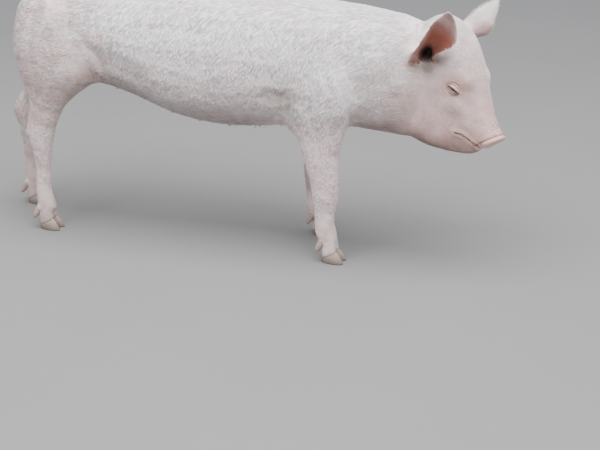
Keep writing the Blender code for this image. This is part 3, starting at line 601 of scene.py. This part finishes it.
def flows(points, normals):
    """Unit directions along the skin in which the hair lies.

    On the trunk it runs back and, on the flanks, down; on the neck and head back from the snout; on the
    legs down; on the ears and the tail out to the tip. Each is turned into the plane that the normal
    crosses at right angles.
    """
    head, ears, legs, tail = regions(points)
    head, legs, tail = head[:, None], legs[:, None], tail[:, None]
    from_tail = points[:, 0] - trunk[0]
    down = 3.0 * fade(np.abs(normals[:, 1]), 0.25, 0.85) * fade(normals[:, 2], -0.65, 0.05)
    down = down * (1 - 0.65 * fade(from_tail, 0.14, 0.27)) * (1 - 0.85 * fade(-from_tail, 0.18, 0.30))
    along = np.stack([-np.ones(len(points)), np.zeros(len(points)), -down], 1)
    along = unit(along) * (1 - head) + unit(-head_turn[:, 0] + (0, 0, -0.20)) * head
    along = along * (1 - legs) + unit(np.array([-0.18, 0, -1])) * legs
    for side in (-1, 1):
        share = ears[side][:, None]
        along = along * (1 - share) + (head_turn @ EAR_AXES[side]) * share
    around = np.stack([points[:, 2] - TAIL_CURL_MIDDLE[1], 0 * from_tail, TAIL_CURL_MIDDLE[0] - from_tail], 1)
    along = along * (1 - tail) + unit(around) * tail
    return unit(along - (along * normals).sum(1, keepdims=True) * normals)


def give(mesh, name, values):
    """Stores a number or a vector for each point of a mesh, for its material to read."""
    kind, field = ("FLOAT", "value") if values.ndim == 1 else ("FLOAT_VECTOR", "vector")
    mesh.attributes.new(name, kind, "POINT").data.foreach_set(field, values.astype(np.float32).ravel())


places = points_of(hide)
normals = points_of(hide, "normal")
blush, grime = markings(places, normals)
flow = flows(places, normals)
cup = np.zeros(len(places))
ear_hollow_shade = np.zeros(len(places))
in_ears = np.zeros(len(places))
for side in (-1, 1):
    share, angle, depth = in_cup(places, side)
    inside = fade(depth, -0.0004, 0.0008) * (1 - fade(np.abs(angle), 2.0, 2.5)) * fade(share, -0.20, -0.08)
    across, outwards = ear_way(normals, side)[:, :2].T
    inside = inside * fade(-across * np.sin(angle) + outwards * np.cos(angle), -0.1, 0.35)
    in_ears = np.maximum(in_ears, inside)
    cup = np.maximum(cup, inside * (1 - 0.80 * fade(share, 0.38, 0.80)) * (1 - 0.55 * fade(-angle, 0.5, 1.1)))
    # Painted shadow in each ear's hollow, deepest low, forward and near its root, joined to the painted dark
    # of its canal
    shade = np.maximum(fade(angle, -0.8, 0.4), 1 - fade(share, 0.0, 0.25))
    shade = 0.62 * inside * (1 - fade(share, 0.12, 0.62)) * shade
    ear_hollow_shade = np.maximum(ear_hollow_shade, np.maximum(0.96 * (1 - fade(canals[side], 0.75, 1.65)), shade))
# Painted shade deep in the nostrils, along the mouth line, in the ears' canals and hollows and in the open
# slits of the eyes
dark = np.max([nostrils * fade(nostrils, 0.3, 0.9), lip_line * 0.5, ear_hollow_shade, eye_slits], 0)
upper = fade(local[:, 2] - mouth_height(local), -0.001, 0.0005)
bare = np.maximum(on_disc, 0.5 * before * near_line(side_view, MOUTH, 0.004) * upper)
marks = {"blush": blush, "grime": grime, "cup": cup, "dark": dark, "bare": bare}
for name, share in marks.items():
    give(hide, name, np.clip(share, 0, 1))
give(hide, "lie", places - 0.88 * (places * flow).sum(1, keepdims=True) * flow)

hide_obj = shown("hide", hide)
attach(hide_obj, "root")
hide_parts(*FLESH)
hide.shade_smooth()
hide.materials.clear()


def colour(code):
    """A paint code in hex as linear red, green, blue and full cover."""
    parts = [int(code[k : k + 2], 16) / 255 for k in (1, 3, 5)]
    return (*[((part + 0.055) / 1.055) ** 2.4 if part > 0.04045 else part / 12.92 for part in parts], 1)


def node(material, kind, inputs, **settings):
    """Adds one shader node; an input is given a plain value, or linked where it is another node's output."""
    made = material.node_tree.nodes.new("ShaderNode" + kind)
    for name, value in settings.items():
        setattr(made, name, value)
    for name, value in inputs.items():
        if isinstance(value, bpy.types.NodeSocket):
            material.node_tree.links.new(value, made.inputs[name])
        else:
            made.inputs[name].default_value = value
    return made


def new_material(name):
    """A material with no node but its output."""
    material = bpy.data.materials.new(name)
    material.use_nodes = True
    material.node_tree.nodes.remove(material.node_tree.nodes["Principled BSDF"])
    return material


def put_on(material, surface):
    """Ends a material with its shader."""
    output = material.node_tree.nodes["Material Output"]
    material.node_tree.links.new(surface.outputs[0], output.inputs["Surface"])


# Live hide: pale skin that light sinks into, pinker where it is thin, with dirt and painted shade in the
# folds and underneath, painted shade deep in the nostrils, ears, mouth line and eye slits, pores, and the
# short hair that lies flat drawn as fine streaks along its own direction
skin = new_material("pig_hide")
read = {name: node(skin, "Attribute", {}, attribute_name=name).outputs["Fac"] for name in marks}
lie = node(skin, "Attribute", {}, attribute_name="lie").outputs["Vector"]
place = node(skin, "TexCoord", {}).outputs["Object"]
mottle = node(skin, "TexNoise", {"Vector": place, "Scale": 55, "Detail": 4, "Roughness": 0.6}).outputs["Fac"]
streaks = node(skin, "TexNoise", {"Vector": lie, "Scale": 620, "Detail": 2, "Roughness": 0.55}).outputs["Fac"]
pores = node(skin, "TexVoronoi", {"Vector": place, "Scale": 700}).outputs["Distance"]
spread = {"Value": mottle, "From Min": 0.3, "From Max": 0.7, "To Min": -0.22, "To Max": 0.22}
uneven = node(skin, "MapRange", spread).outputs[0]
pink = node(skin, "Math", {0: read["blush"], 1: uneven}, operation="ADD", use_clamp=True).outputs[0]
spread = {"Value": streaks, "From Min": 0.46, "From Max": 0.62, "To Max": 0.35}
hairs = node(skin, "MapRange", spread).outputs[0]
spread = {"Value": mottle, "From Min": 0.35, "From Max": 0.65, "To Min": 0.65, "To Max": 1.1}
patchy = node(skin, "MapRange", spread).outputs[0]
# Dirt and painted shade, broken up by the mottle
dirt_and_shade_cover = node(skin, "Math", {0: read["grime"], 1: patchy}, operation="MULTIPLY", use_clamp=True).outputs[0]
layer = colour("#F0E4DF")
tints = {"#D9988A": pink, "#F6F1EC": hairs, "#7D6A5D": dirt_and_shade_cover}
# Bare pink skin, the ears' red cups, and painted shade deep in the recesses
tints |= {"#DDB3A8": read["bare"], "#8F4F3C": read["cup"], "#2A140C": read["dark"]}
for code, share in tints.items():
    layer = node(skin, "Mix", {0: share, 6: layer, 7: colour(code)}, data_type="RGBA").outputs[2]
grain = node(skin, "Math", {0: streaks, 1: pores}, operation="ADD")
bump = node(skin, "Bump", {"Height": grain.outputs[0], "Strength": 0.35, "Distance": 0.0004})
moist = node(skin, "MapRange", {"Value": read["bare"], "To Min": 0.62, "To Max": 0.38})
glow = {"Subsurface Weight": 0.18, "Subsurface Radius": (0.010, 0.004, 0.0025), "Subsurface Scale": 1.0}
finish = {"Base Color": layer, "Roughness": moist.outputs[0], "Normal": bump.outputs[0]}
put_on(skin, node(skin, "BsdfPrincipled", {**finish, "Specular IOR Level": 0.35, **glow}))
hide.materials.append(skin)


# The eyes
# Each eye is a wet ball with a clear bulge in front, dark brown round an oval pupil; little of it shows in
# the slit.
def mesh_of(points, triangles):
    """A mesh from whole arrays of places and of triangles."""
    mesh = bpy.data.meshes.new("new")
    mesh.vertices.add(len(points))
    mesh.vertices.foreach_set("co", points.astype(np.float32).ravel())
    mesh.loops.add(triangles.size)
    mesh.loops.foreach_set("vertex_index", triangles.astype(np.int32).ravel())
    mesh.polygons.add(len(triangles))
    mesh.polygons.foreach_set("loop_start", np.arange(0, triangles.size, 3, dtype=np.int32))
    mesh.update(calc_edges=True)
    mesh.shade_smooth()
    return mesh


def closed_grid(grid):
    """Places and triangles of a stack of closed rings, with a fan to the middle of both end rings."""
    rows, cols = grid.shape[:2]
    points = np.concatenate([grid.reshape(-1, 3), [grid[0].mean(0), grid[-1].mean(0)]])
    row, col = np.meshgrid(np.arange(rows - 1), np.arange(cols), indexing="ij")
    here, beside = row * cols + col, row * cols + (col + 1) % cols
    walls = [np.stack([here, beside, beside + cols], -1), np.stack([here, beside + cols, here + cols], -1)]
    ring = np.arange(cols)
    after = (ring + 1) % cols
    last = (rows - 1) * cols
    first_fan = np.stack([after, ring, 0 * ring + rows * cols], -1)
    last_fan = np.stack([last + ring, last + after, 0 * ring + rows * cols + 1], -1)
    return points, np.concatenate([*[wall.reshape(-1, 3) for wall in walls], first_fan, last_fan])


def eyeball(side):
    """A ball of radius 0.985 R (1 + 0.06 (1 - fade(t, 0.35, 0.85))) at angle t from its front, the bulge."""
    from_front = np.linspace(0.03, math.pi - 0.03, 48)[:, None]
    round_it = np.arange(64)[None] * 2 * math.pi / 64
    radius = EYE_RADIUS * 0.985 * (1 + 0.06 * (1 - fade(from_front, 0.35, 0.85)))
    ahead = radius * np.cos(from_front) + 0 * round_it
    beside, above = (radius * np.sin(from_front) * part for part in (np.cos(round_it), np.sin(round_it)))
    points, triangles = closed_grid(np.stack([beside, above, ahead], -1))
    mesh = mesh_of(points @ eye_frame(side) + eyes[side], triangles if side < 0 else triangles[:, ::-1])
    give(mesh, "seen", points / EYE_RADIUS)
    return mesh


# Wet eyeball: brown rays round a dark pupil, paler outside, under a clear smooth coat that gives the sharp
# glint
wet = new_material("wet_eye")
seen = node(wet, "Attribute", {}, attribute_name="seen").outputs["Vector"]
split = node(wet, "SeparateXYZ", {"Vector": seen})
wide = node(wet, "Math", {0: split.outputs[0], 1: 0.75}, operation="MULTIPLY")
flat = node(wet, "CombineXYZ", {0: wide.outputs[0], 1: split.outputs[1]})
ring = node(wet, "VectorMath", {0: flat.outputs[0]}, operation="LENGTH").outputs["Value"]
rays = node(wet, "TexNoise", {"Vector": flat.outputs[0], "Scale": 14, "Detail": 3}).outputs["Fac"]
iris = node(wet, "Mix", {0: rays, 6: colour("#2E1A10"), 7: colour("#6B4429")}, data_type="RGBA").outputs[2]
pupil = node(wet, "MapRange", {"Value": ring, "From Min": 0.20, "From Max": 0.24}).outputs[0]
layer = node(wet, "Mix", {0: pupil, 6: colour("#070504"), 7: iris}, data_type="RGBA").outputs[2]
edge = node(wet, "MapRange", {"Value": ring, "From Min": 0.52, "From Max": 0.62}).outputs[0]
layer = node(wet, "Mix", {0: edge, 6: layer, 7: colour("#8F7A6C")}, data_type="RGBA").outputs[2]
gloss = {"Roughness": 0.12, "Coat Weight": 1.0, "Coat Roughness": 0.03}
put_on(wet, node(wet, "BsdfPrincipled", {"Base Color": layer, **gloss}))
for side, name in ((-1, "right"), (1, "left")):
    ball = shown("eyeball_" + name, eyeball(side))
    ball.data.materials.append(wet)
    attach(ball, "root")
    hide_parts("eye_" + name)

# The hooves
# Each foot has two claws of horn, ridged by growth and worn at the ground edge, and two dewclaws behind the
# pastern.
CLAW_TOE = 0.0225
CLAW_HEEL = -0.0190
CLAW_WIDTH = 0.0172
CLAW_SPLAY = math.radians(6)
CORONET_HEIGHT = 0.0175
CORONET_SLOPE = math.radians(25)
GROWTH = 0.0021
CORONET_MIDDLE, CORONET_HALF = -0.0062, 0.0150
CLAW_GAP = 0.0017
DEWCLAW_LENGTH = 0.0210
DEWCLAW_RADIUS = 0.0062


def claw_rings(side):
    """Rings of one claw, from its sole up to a coronet that slopes to the heel, in its foot's own frame.

    Seen from above a ring is (m + a cos t, b sin t (1 - 0.3 cos^3 t)), flatter on the inner side. Walls
    lean in as they rise, and a wave of length GROWTH with soft chance gives the ridges of growth.
    """
    turn = np.arange(56)[None] * 2 * math.pi / 56
    rise = np.concatenate([[0, 0.02], np.linspace(0.05, 1.0, 24), [1.12, 1.14]])[:, None]
    along = np.cos(turn)
    across = np.sin(turn) * (1 - 0.30 * along**3)
    across = np.where(across * side < 0, across * 0.86, across)
    inset = 0.0009 * np.exp(-rise / 0.02) + 0.0012 * fade(rise, 1.0, 1.1)
    middle, half = (CLAW_TOE + CLAW_HEEL) / 2, (CLAW_TOE - CLAW_HEEL) / 2
    sole, coronet = middle + along * (half - inset), CORONET_MIDDLE + along * (CORONET_HALF - inset)
    x = sole * (1 - rise) + rise * coronet
    y = across * (CLAW_WIDTH / 2 - inset) * (1 - 0.06 * rise)
    cosine, sine = math.cos(side * CLAW_SPLAY), math.sin(side * CLAW_SPLAY)
    height = CORONET_HEIGHT + math.tan(CORONET_SLOPE) * (x * cosine - y * sine)
    z = rise * height
    ridge = 0.00016 * np.sin((z + 0.0006 * np.sin(3 * turn)) / GROWTH * 2 * math.pi) * fade(rise, 0.1, 0.25)
    x = x + ridge * along - 0.0003 * (1 - fade(rise, 0, 0.1)) * (1 + np.sin(7 * turn)) * along
    y = y + ridge * np.sin(turn)
    return np.stack([x * cosine - y * sine, x * sine + y * cosine, z], -1)


def dewclaw_rings(side):
    """Rings of a blunt cone: radius r sqrt(1 - (0.97 s)^2.6) at share s of its length, with faint ridges."""
    axis = unit(np.array([-0.42, side * 0.22, -0.88]))
    aside = unit(np.cross(axis, (0, 1, 0)))
    forward = np.cross(axis, aside)
    turn = np.arange(28)[None] * 2 * math.pi / 28
    share = np.concatenate([[-0.16], np.linspace(-0.12, 0.90, 18), [0.95, 0.985, 1.0]])[:, None]
    radius = DEWCLAW_RADIUS * np.sqrt(1 - (0.97 * np.maximum(share, 0)) ** 2.6)
    radius = radius - 0.0012 * fade(-share, 0.08, 0.16)
    radius = radius + 0.00010 * np.sin(share * DEWCLAW_LENGTH / GROWTH * 2 * math.pi)
    root = np.array([-0.0215, side * 0.0125, 0.0415])
    return (
        root
        + DEWCLAW_LENGTH * share[..., None] * axis
        + (radius * np.cos(turn))[..., None] * aside
        + (radius * np.sin(turn))[..., None] * forward
    )


# Horn of the hoof: dull keratin that grows downwards in level bands with fine upright fibres, darker where
# it wears
horn = new_material("hoof_horn")
place = node(horn, "TexCoord", {}).outputs["Object"]
rings = node(horn, "Mapping", {"Vector": place, "Scale": (60, 60, 480)}).outputs[0]
growth = node(horn, "TexNoise", {"Vector": rings, "Scale": 1.0, "Detail": 3}).outputs["Fac"]
fibres = node(horn, "Mapping", {"Vector": place, "Scale": (900, 900, 60)}).outputs[0]
fibres = node(horn, "TexNoise", {"Vector": fibres, "Scale": 1.0, "Detail": 2}).outputs["Fac"]
height = node(horn, "SeparateXYZ", {"Vector": place}).outputs[2]
worn = node(horn, "MapRange", {"Value": height, "From Max": 0.016, "To Min": 0.9, "To Max": 0.0}).outputs[0]
layer = colour("#8B7466")
for code, share in {"#C4B0A3": growth, "#5E5047": worn}.items():
    layer = node(horn, "Mix", {0: share, 6: layer, 7: colour(code)}, data_type="RGBA").outputs[2]
grain = node(horn, "Math", {0: growth, 1: fibres}, operation="ADD")
bump = node(horn, "Bump", {"Height": grain.outputs[0], "Strength": 0.4, "Distance": 0.0003})
dull = node(horn, "MapRange", {"Value": fibres, "To Min": 0.38, "To Max": 0.62}).outputs[0]
surface = node(horn, "BsdfPrincipled", {"Base Color": layer, "Roughness": dull, "Normal": bump.outputs[0]})
put_on(horn, surface)
for leg in ("front_right", "front_left", "hind_right", "hind_left"):
    corners = np.array([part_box("claw_" + leg + side) for side in ("_right", "_left")])
    low, high = corners.min((0, 1)), corners.max((0, 1))
    sole = claw_rings(1)[..., 0]
    foot = np.array([(low[0] + high[0] - sole.min() - sole.max()) / 2, (low[1] + high[1]) / 2, 0])
    for side, name in ((-1, "right"), (1, "left")):
        outer = np.array([0, side * (high[1] - low[1] - CLAW_WIDTH - CLAW_GAP) / 2, 0])
        for kind, rings in (("claw", claw_rings(side) + outer), ("dewclaw", dewclaw_rings(side))):
            points, triangles = closed_grid(rings)
            hoof = shown(f"{kind}_horn_{leg}_{name}", mesh_of(points + foot, triangles))
            hoof.data.materials.append(horn)
            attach(hoof, "root")
            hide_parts(f"{kind}_{leg}_{name}")

# The coat
# Short white bristles over all but the disc, lips, slits of the eyes, cups of the ears and teats. They lie
# flat; each tuft is a slim closed lock of a few bristles, rooted in the hide, with its tip bent back down.
def roots(count, density, seed):
    """Chance places, spread evenly by area times density, their normals and the hide's point next to each.

    Triangle t holds a share of the count as large as its area times the density at its corners, and a root
    is the mean of the corners with chance weights that add up to 1.
    """
    random = np.random.default_rng(seed)
    hide.calc_loop_triangles()
    corners = np.empty(len(hide.loop_triangles) * 3, np.int32)
    hide.loop_triangles.foreach_get("vertices", corners)
    corners = corners.reshape(-1, 3)
    a, b, c = (places[corners[:, k]] for k in range(3))
    weight = np.linalg.norm(np.cross(b - a, c - a), axis=1) * density[corners].mean(1)
    total = np.cumsum(weight)
    chosen = np.searchsorted(total, (np.arange(count) + random.random(count)) / count * total[-1])
    chosen = corners[np.minimum(chosen, len(corners) - 1)]
    first, second = np.sort(random.random((2, count)), axis=0)
    parts = np.stack([first, second - first, 1 - second], 1)
    place, normal = ((values[chosen] * parts[..., None]).sum(1) for values in (places, normals))
    return place, unit(normal), chosen[np.arange(count), parts.argmax(1)]


def locks(root, normal, lie, length, width, lift, random):
    """Places and triangles of slim locks, with a tip each, two rings of three points and a flat root.

    At share t of a lock its middle is root + lie L (t cos a) + normal L (t - 0.75 t^2) sin a, and its width
    is w (1 - t^2.2), so that it is thickest near the skin and its tip bends back to lie along the body. Its
    root is sunk 0.027 L into the hide.
    """
    aside = np.cross(lie, normal)
    bend = (random.normal(size=len(root)) * 0.16)[:, None]
    rings = []
    for share in (-0.03, 0.52, 1.0):
        rise = (share - 0.75 * share**2) * np.sin(lift) if share > 0 else share * 0.9
        middle = root + (length * share * np.cos(lift))[:, None] * lie + (length * rise)[:, None] * normal
        middle = middle + bend * share**2 * length[:, None] * aside
        if share == 1.0:
            rings.append(middle)
            continue
        half = (width * (1 - max(share, 0) ** 2.2) / 2)[:, None]
        rings += [middle - half * aside, middle + half * aside, middle + 0.7 * half * normal]
    points = np.stack(rings, 1)
    walls = [(2, 1, 0)]
    for here, there in ((0, 1), (1, 2), (2, 0)):
        walls += [(here, there, there + 3), (here, there + 3, here + 3), (here + 3, there + 3, 6)]
    triangles = np.arange(len(root))[:, None, None] * 7 + np.array(walls)
    return points.reshape(-1, 3), triangles.reshape(-1, 3)


def unrolled(root, label):
    """Each root's place on the hide of its region opened flat, scaled to 0.02 to 0.98 both ways.

    Trunk, head, legs and tail are unrolled round their own axis as angle and distance along it; the ears
    are laid open as their arc's angle and their length.
    """
    x, y, z = root.T
    around, along = np.arctan2(z - 0.37, np.abs(y)), x
    if label.startswith("ear"):
        along, angle, depth = in_cup(root, -1 if "right" in label else 1)
        around = angle + np.where(depth > 0, 0, 7.0)
    elif label.startswith("leg"):
        around, along = np.arctan2(y - y.mean(), x - np.polyval(np.polyfit(z, x, 2), z)), z
    elif label == "tail":
        around, along = np.arctan2(z - TAIL_CURL_MIDDLE[1], x - trunk[0] - TAIL_CURL_MIDDLE[0]), y
    elif label.startswith("head"):
        along, y, z = in_head(root).T
        around = np.arctan2(z - 0.02, np.abs(y))
    flat = np.stack([around, along], 1)
    low, high = flat.min(0), flat.max(0)
    return 0.02 + 0.96 * (flat - low) / (high - low)


# White bristles: smooth stiff hair with a soft shine, each tuft its own tone, tinted by skin, and darkened by
# dirt and painted shade
bristle = new_material("white_bristles")
traits = ("tone", "grime", "blush")
read = {name: node(bristle, "Attribute", {}, attribute_name=name).outputs["Fac"] for name in traits}
strand = node(bristle, "Attribute", {}, attribute_name="strand").outputs["Vector"]
strands = node(bristle, "TexNoise", {"Vector": strand, "Scale": 1.0, "Detail": 2}).outputs["Fac"]
fleck = node(bristle, "Math", {0: read["tone"], 1: strands}, operation="ADD").outputs[0]
fleck = node(bristle, "MapRange", {"Value": fleck, "From Min": 0.3, "From Max": 1.2}).outputs[0]
tint = node(bristle, "Math", {0: read["blush"], 1: 0.60}, operation="MULTIPLY").outputs[0]
# Dirt and painted shade from the hide darken the bristles too
dirt_and_shade_cover = node(bristle, "Math", {0: read["grime"], 1: 0.85}, operation="MULTIPLY").outputs[0]
layer = colour("#EAE5E4")
for code, share in {"#FBFAFC": fleck, "#DDA995": tint, "#85746A": dirt_and_shade_cover}.items():
    layer = node(bristle, "Mix", {0: share, 6: layer, 7: colour(code)}, data_type="RGBA").outputs[2]
shine = {"Roughness": 0.48, "Specular IOR Level": 0.4, "Sheen Weight": 0.15}
put_on(bristle, node(bristle, "BsdfPrincipled", {"Base Color": layer, **shine}))

head, ears, legs, tail = regions(places)
either_ear = np.maximum(ears[-1], ears[1])
face = head * (1 - either_ear) * fade(in_head(places)[:, 0], -0.20, -0.12)
free = 1 - np.clip(bare + in_ears + np.clip(dark, 0, 1), 0, 1)
free = free * (1 - 0.7 * (1 - fade(to_eyes(places), 0.013, 0.019)))
canal_off = np.minimum(canals[-1], canals[1])
free = free * fade(canal_off, 1.5, 2.5)
free = free * fade(places[:, 2], 0.019, 0.024)
free = free * fade(to_teats(places), 0.006, 0.010)
below = fade(-normals[:, 2], 0.1, 0.7) * (1 - head) * (1 - legs)
density = free * (1.0 + 1.3 * face + 1.0 * either_ear + 0.5 * legs + 1.5 * tail)
COAT_LOCKS = 148000
root, normal, nearest = roots(COAT_LOCKS, density, 7)
random = np.random.default_rng(8)
lie = flows(root, normal)
aside = np.cross(normal, lie)
swirl = 0.16 * waves(root, 0.05, 31) + 0.10 * waves(root, 0.015, 32) + 0.13 * random.normal(size=len(root))
lie = lie * np.cos(swirl)[:, None] + aside * np.sin(swirl)[:, None]
face, ear, leg, under, tail_share = (share[nearest] for share in (face, either_ear, legs, below, tail))
length = 0.0125 - 0.0065 * face - 0.0065 * ear - 0.0045 * leg - 0.0025 * under - 0.0050 * tail_share
near_foot = 1 - fade(root[:, 2], 0.05, 0.15)
length = length * (1 - 0.5 * near_foot) * (0.35 + 0.65 * fade(canal_off[nearest], 2.0, 4.0))
length = length * (1 + 0.18 * random.normal(size=len(root)) + 0.10 * waves(root, 0.02, 33)).clip(0.45, 1.6)
width = 0.00080 - 0.00035 * face - 0.00030 * ear - 0.00018 * leg - 0.0002 * tail_share
width = width * random.uniform(0.7, 1.3, len(root))
width = width * (1 - 0.25 * near_foot)
stray = random.random(len(root)) < 0.05 * (1 - 0.7 * leg)
lift = 7 - 2 * leg - 2 * ear + 2.5 * random.normal(size=len(root)) + 2 * under + 12 * stray
lift = np.radians(lift).clip(0.03, 0.6)
tone = 0.5 * waves(root, 0.006, 34) + 0.35 * random.normal(size=len(root))

# The coat is cut into pieces where the body's own parts meet
from_tail = root[:, 0] - trunk[0]
half = np.where(root[:, 1] < 0, "_right", "_left")
labels = np.where(from_tail < -0.19, "rump", np.where(from_tail < 0.03, "flank", "shoulder"))
labels = np.char.add(np.where(head[nearest] > 0.5, "head", labels), half)
leg_labels = np.char.add(np.where(from_tail > -0.1, "leg_front", "leg_hind"), half)
labels = np.where(leg > 0.5, leg_labels, labels)
for side, name in ((-1, "ear_right"), (1, "ear_left")):
    labels = np.where(ears[side][nearest] > 0.5, name, labels)
labels = np.where(tail_share > 0.5, "tail", labels)

# Single stiff hairs: whiskers on the lips, chin and brows, and the lashes of the upper lids
WHISKERS = 150
LASHES = 22
STIFF_WIDTH = 0.00026
STIFF_TONE = 0.6


def stiff(root, normal, lie, length, lift):
    """Single hairs as the coat has its locks, on the half of the head that they stand on."""
    ones = np.ones(len(root))
    halves = np.where(in_head(root)[:, 1] < 0, "head_right", "head_left")
    return root, normal, lie, length, lift, ones * STIFF_WIDTH, ones * STIFF_TONE, halves


hairs = [(root, normal, lie, length, lift, width, tone, labels)]
local = in_head(places)
by_mouth = fade(local[:, 0], -0.080, -0.050) * (1 - fade(local[:, 0], -0.020, -0.012))
by_mouth = by_mouth * (1 - fade(local[:, 2], -0.012, 0.004))
brows = [eyes[side] + head_turn @ (-0.004, 0.004 * side, 0.026) for side in (-1, 1)]
by_brow = hump(from_either(places, *brows), 0, 0.012)
root, normal, nearest = roots(WHISKERS, free * head * (by_mouth + 1.5 * by_brow), 9)
lie = unit(flows(root, normal) + (0, 0, -0.35))
length = random.uniform(0.009, 0.018, WHISKERS)
hairs.append(stiff(root, normal, lie, length, np.radians(random.uniform(18, 42, WHISKERS))))
for side in (-1, 1):
    u = np.linspace(-0.0115, 0.0085, LASHES) + random.normal(size=LASHES) * 0.0003
    bow = 1 - ((u + 0.0012) / SLIT_LONG) ** 2
    v = (0.0010 + SLIT_HIGH) * bow + 0.0006
    w = np.sqrt((EYE_RADIUS + LID_THICK) ** 2 - u**2 - v**2) - 0.0008
    along, up, looks = eye_frame(side)
    root = eyes[side] + u[:, None] * along + v[:, None] * up + w[:, None] * looks
    lie = looks - 0.35 * up + (45 * u - 0.15)[:, None] * along
    lie = unit(lie + 0.10 * random.normal(size=(LASHES, 3)))
    normal = unit(np.cross(lie, np.cross(up, lie)))
    hairs.append(stiff(root, normal, lie, random.uniform(0.005, 0.008, LASHES), np.full(LASHES, 0.45)))
root, normal, lie, length, lift, width, tone, labels = (np.concatenate(row) for row in zip(*hairs))
# Each hair takes the hide's blush, dirt and painted shade at its root
blush, grime = markings(root, normal)
# The seven points of each lock: how far aside and how far along it they are
across = np.array([-1, 1, 0, -1, 1, 0, 0])
along = np.array([-1, -1, -1, 0, 0, 0, 1])
PATCH = 0.0015
for label in sorted(set(labels)):
    here = labels == label
    points, triangles = locks(*(row[here] for row in (root, normal, lie, length, width, lift)), random)
    piece = shown("coat_" + label, mesh_of(points, triangles))
    count = here.sum()
    strand = [np.tile(across * 2.2, count), np.tile(along * 0.6, count), np.repeat(tone[here] * 40, 7)]
    give(piece.data, "strand", np.stack(strand, 1))
    for name, values in (("tone", 0.5 + 0.4 * tone), ("grime", grime), ("blush", blush)):
        give(piece.data, name, np.repeat(values[here], 7))
    patch = np.repeat(unrolled(root[here], label), 7, axis=0)
    patch = patch + np.tile(np.stack([across, along], 1) * PATCH, (count, 1))
    bake = piece.data.uv_layers.new(name="OFBake")
    bake.data.foreach_set("uv", patch[triangles.ravel()].astype(np.float32).ravel())
    piece.data.materials.append(bristle)
    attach(piece, "root")

# Floor, lights and camera
# A pale studio floor under soft light from above, as on an overcast day, seen from a little in front of the
# side.
CAMERA_ROUND = math.radians(17)
CAMERA_UP = math.radians(20)
CAMERA_ROLL = math.radians(0.5)
CAMERA_AWAY = 3.4
CAMERA_LENS = 106.08
CAMERA_AIMS = trunk + (0.1204, 0, 0.0386)

FLOOR_HALF = 15
SKY_COLOUR = (0.84, 0.90, 1.0, 1)
SKY_STRENGTH = 0.95
LAMP_PLACE = (0.2, -0.9, 3.0)
LAMP_SIZE = 3.0
LAMP_WATTS = 270
LAMP_COLOUR = (0.94, 0.96, 1.0)
LAMP_TILT = math.radians(-17)

floor_mesh = bpy.data.meshes.new("floor")
corners = [(FLOOR_HALF * a, FLOOR_HALF * b, 0) for a, b in ((-1, -1), (1, -1), (1, 1), (-1, 1))]
floor_mesh.from_pydata(corners, [], [(0, 1, 2, 3)])
floor = shown("floor", floor_mesh)
# Matt painted board, a little uneven in tone
backdrop = new_material("studio_floor")
place = node(backdrop, "TexCoord", {}).outputs["Object"]
faint = node(backdrop, "TexNoise", {"Vector": place, "Scale": 3.0, "Detail": 3}).outputs["Fac"]
greys = {0: faint, 6: colour("#7F7C79"), 7: colour("#85827F")}
layer = node(backdrop, "Mix", greys, data_type="RGBA").outputs[2]
put_on(backdrop, node(backdrop, "BsdfPrincipled", {"Base Color": layer, "Roughness": 0.85}))
floor_mesh.materials.append(backdrop)

ahead = math.cos(CAMERA_UP)
looks = Vector((-math.sin(CAMERA_ROUND) * ahead, math.cos(CAMERA_ROUND) * ahead, -math.sin(CAMERA_UP)))
level = Vector((math.cos(CAMERA_ROUND), math.sin(CAMERA_ROUND), 0))
upright = level.cross(looks)
right = level * math.cos(CAMERA_ROLL) + upright * math.sin(CAMERA_ROLL)
up = upright * math.cos(CAMERA_ROLL) - level * math.sin(CAMERA_ROLL)
lens = bpy.data.cameras.new("camera")
lens.sensor_width = 36
lens.lens = CAMERA_LENS
camera = bpy.data.objects.new("camera", lens)
facing = Matrix((right, up, -looks)).transposed().to_4x4()
camera.matrix_world = Matrix.Translation(Vector(CAMERA_AIMS) - looks * CAMERA_AWAY) @ facing
bpy.context.scene.collection.objects.link(camera)
bpy.context.scene.camera = camera

world = bpy.data.worlds.new("studio")
bpy.context.scene.world = world
world.use_nodes = True
world.node_tree.nodes["Background"].inputs["Color"].default_value = SKY_COLOUR
world.node_tree.nodes["Background"].inputs["Strength"].default_value = SKY_STRENGTH
lamp = bpy.data.lights.new("sky", "AREA")
lamp.size = LAMP_SIZE
lamp.energy = LAMP_WATTS
lamp.color = LAMP_COLOUR
sky = bpy.data.objects.new("sky", lamp)
sky.matrix_world = Matrix.Translation(LAMP_PLACE) @ Matrix.Rotation(LAMP_TILT, 4, "X").inverted()
bpy.context.scene.collection.objects.link(sky)
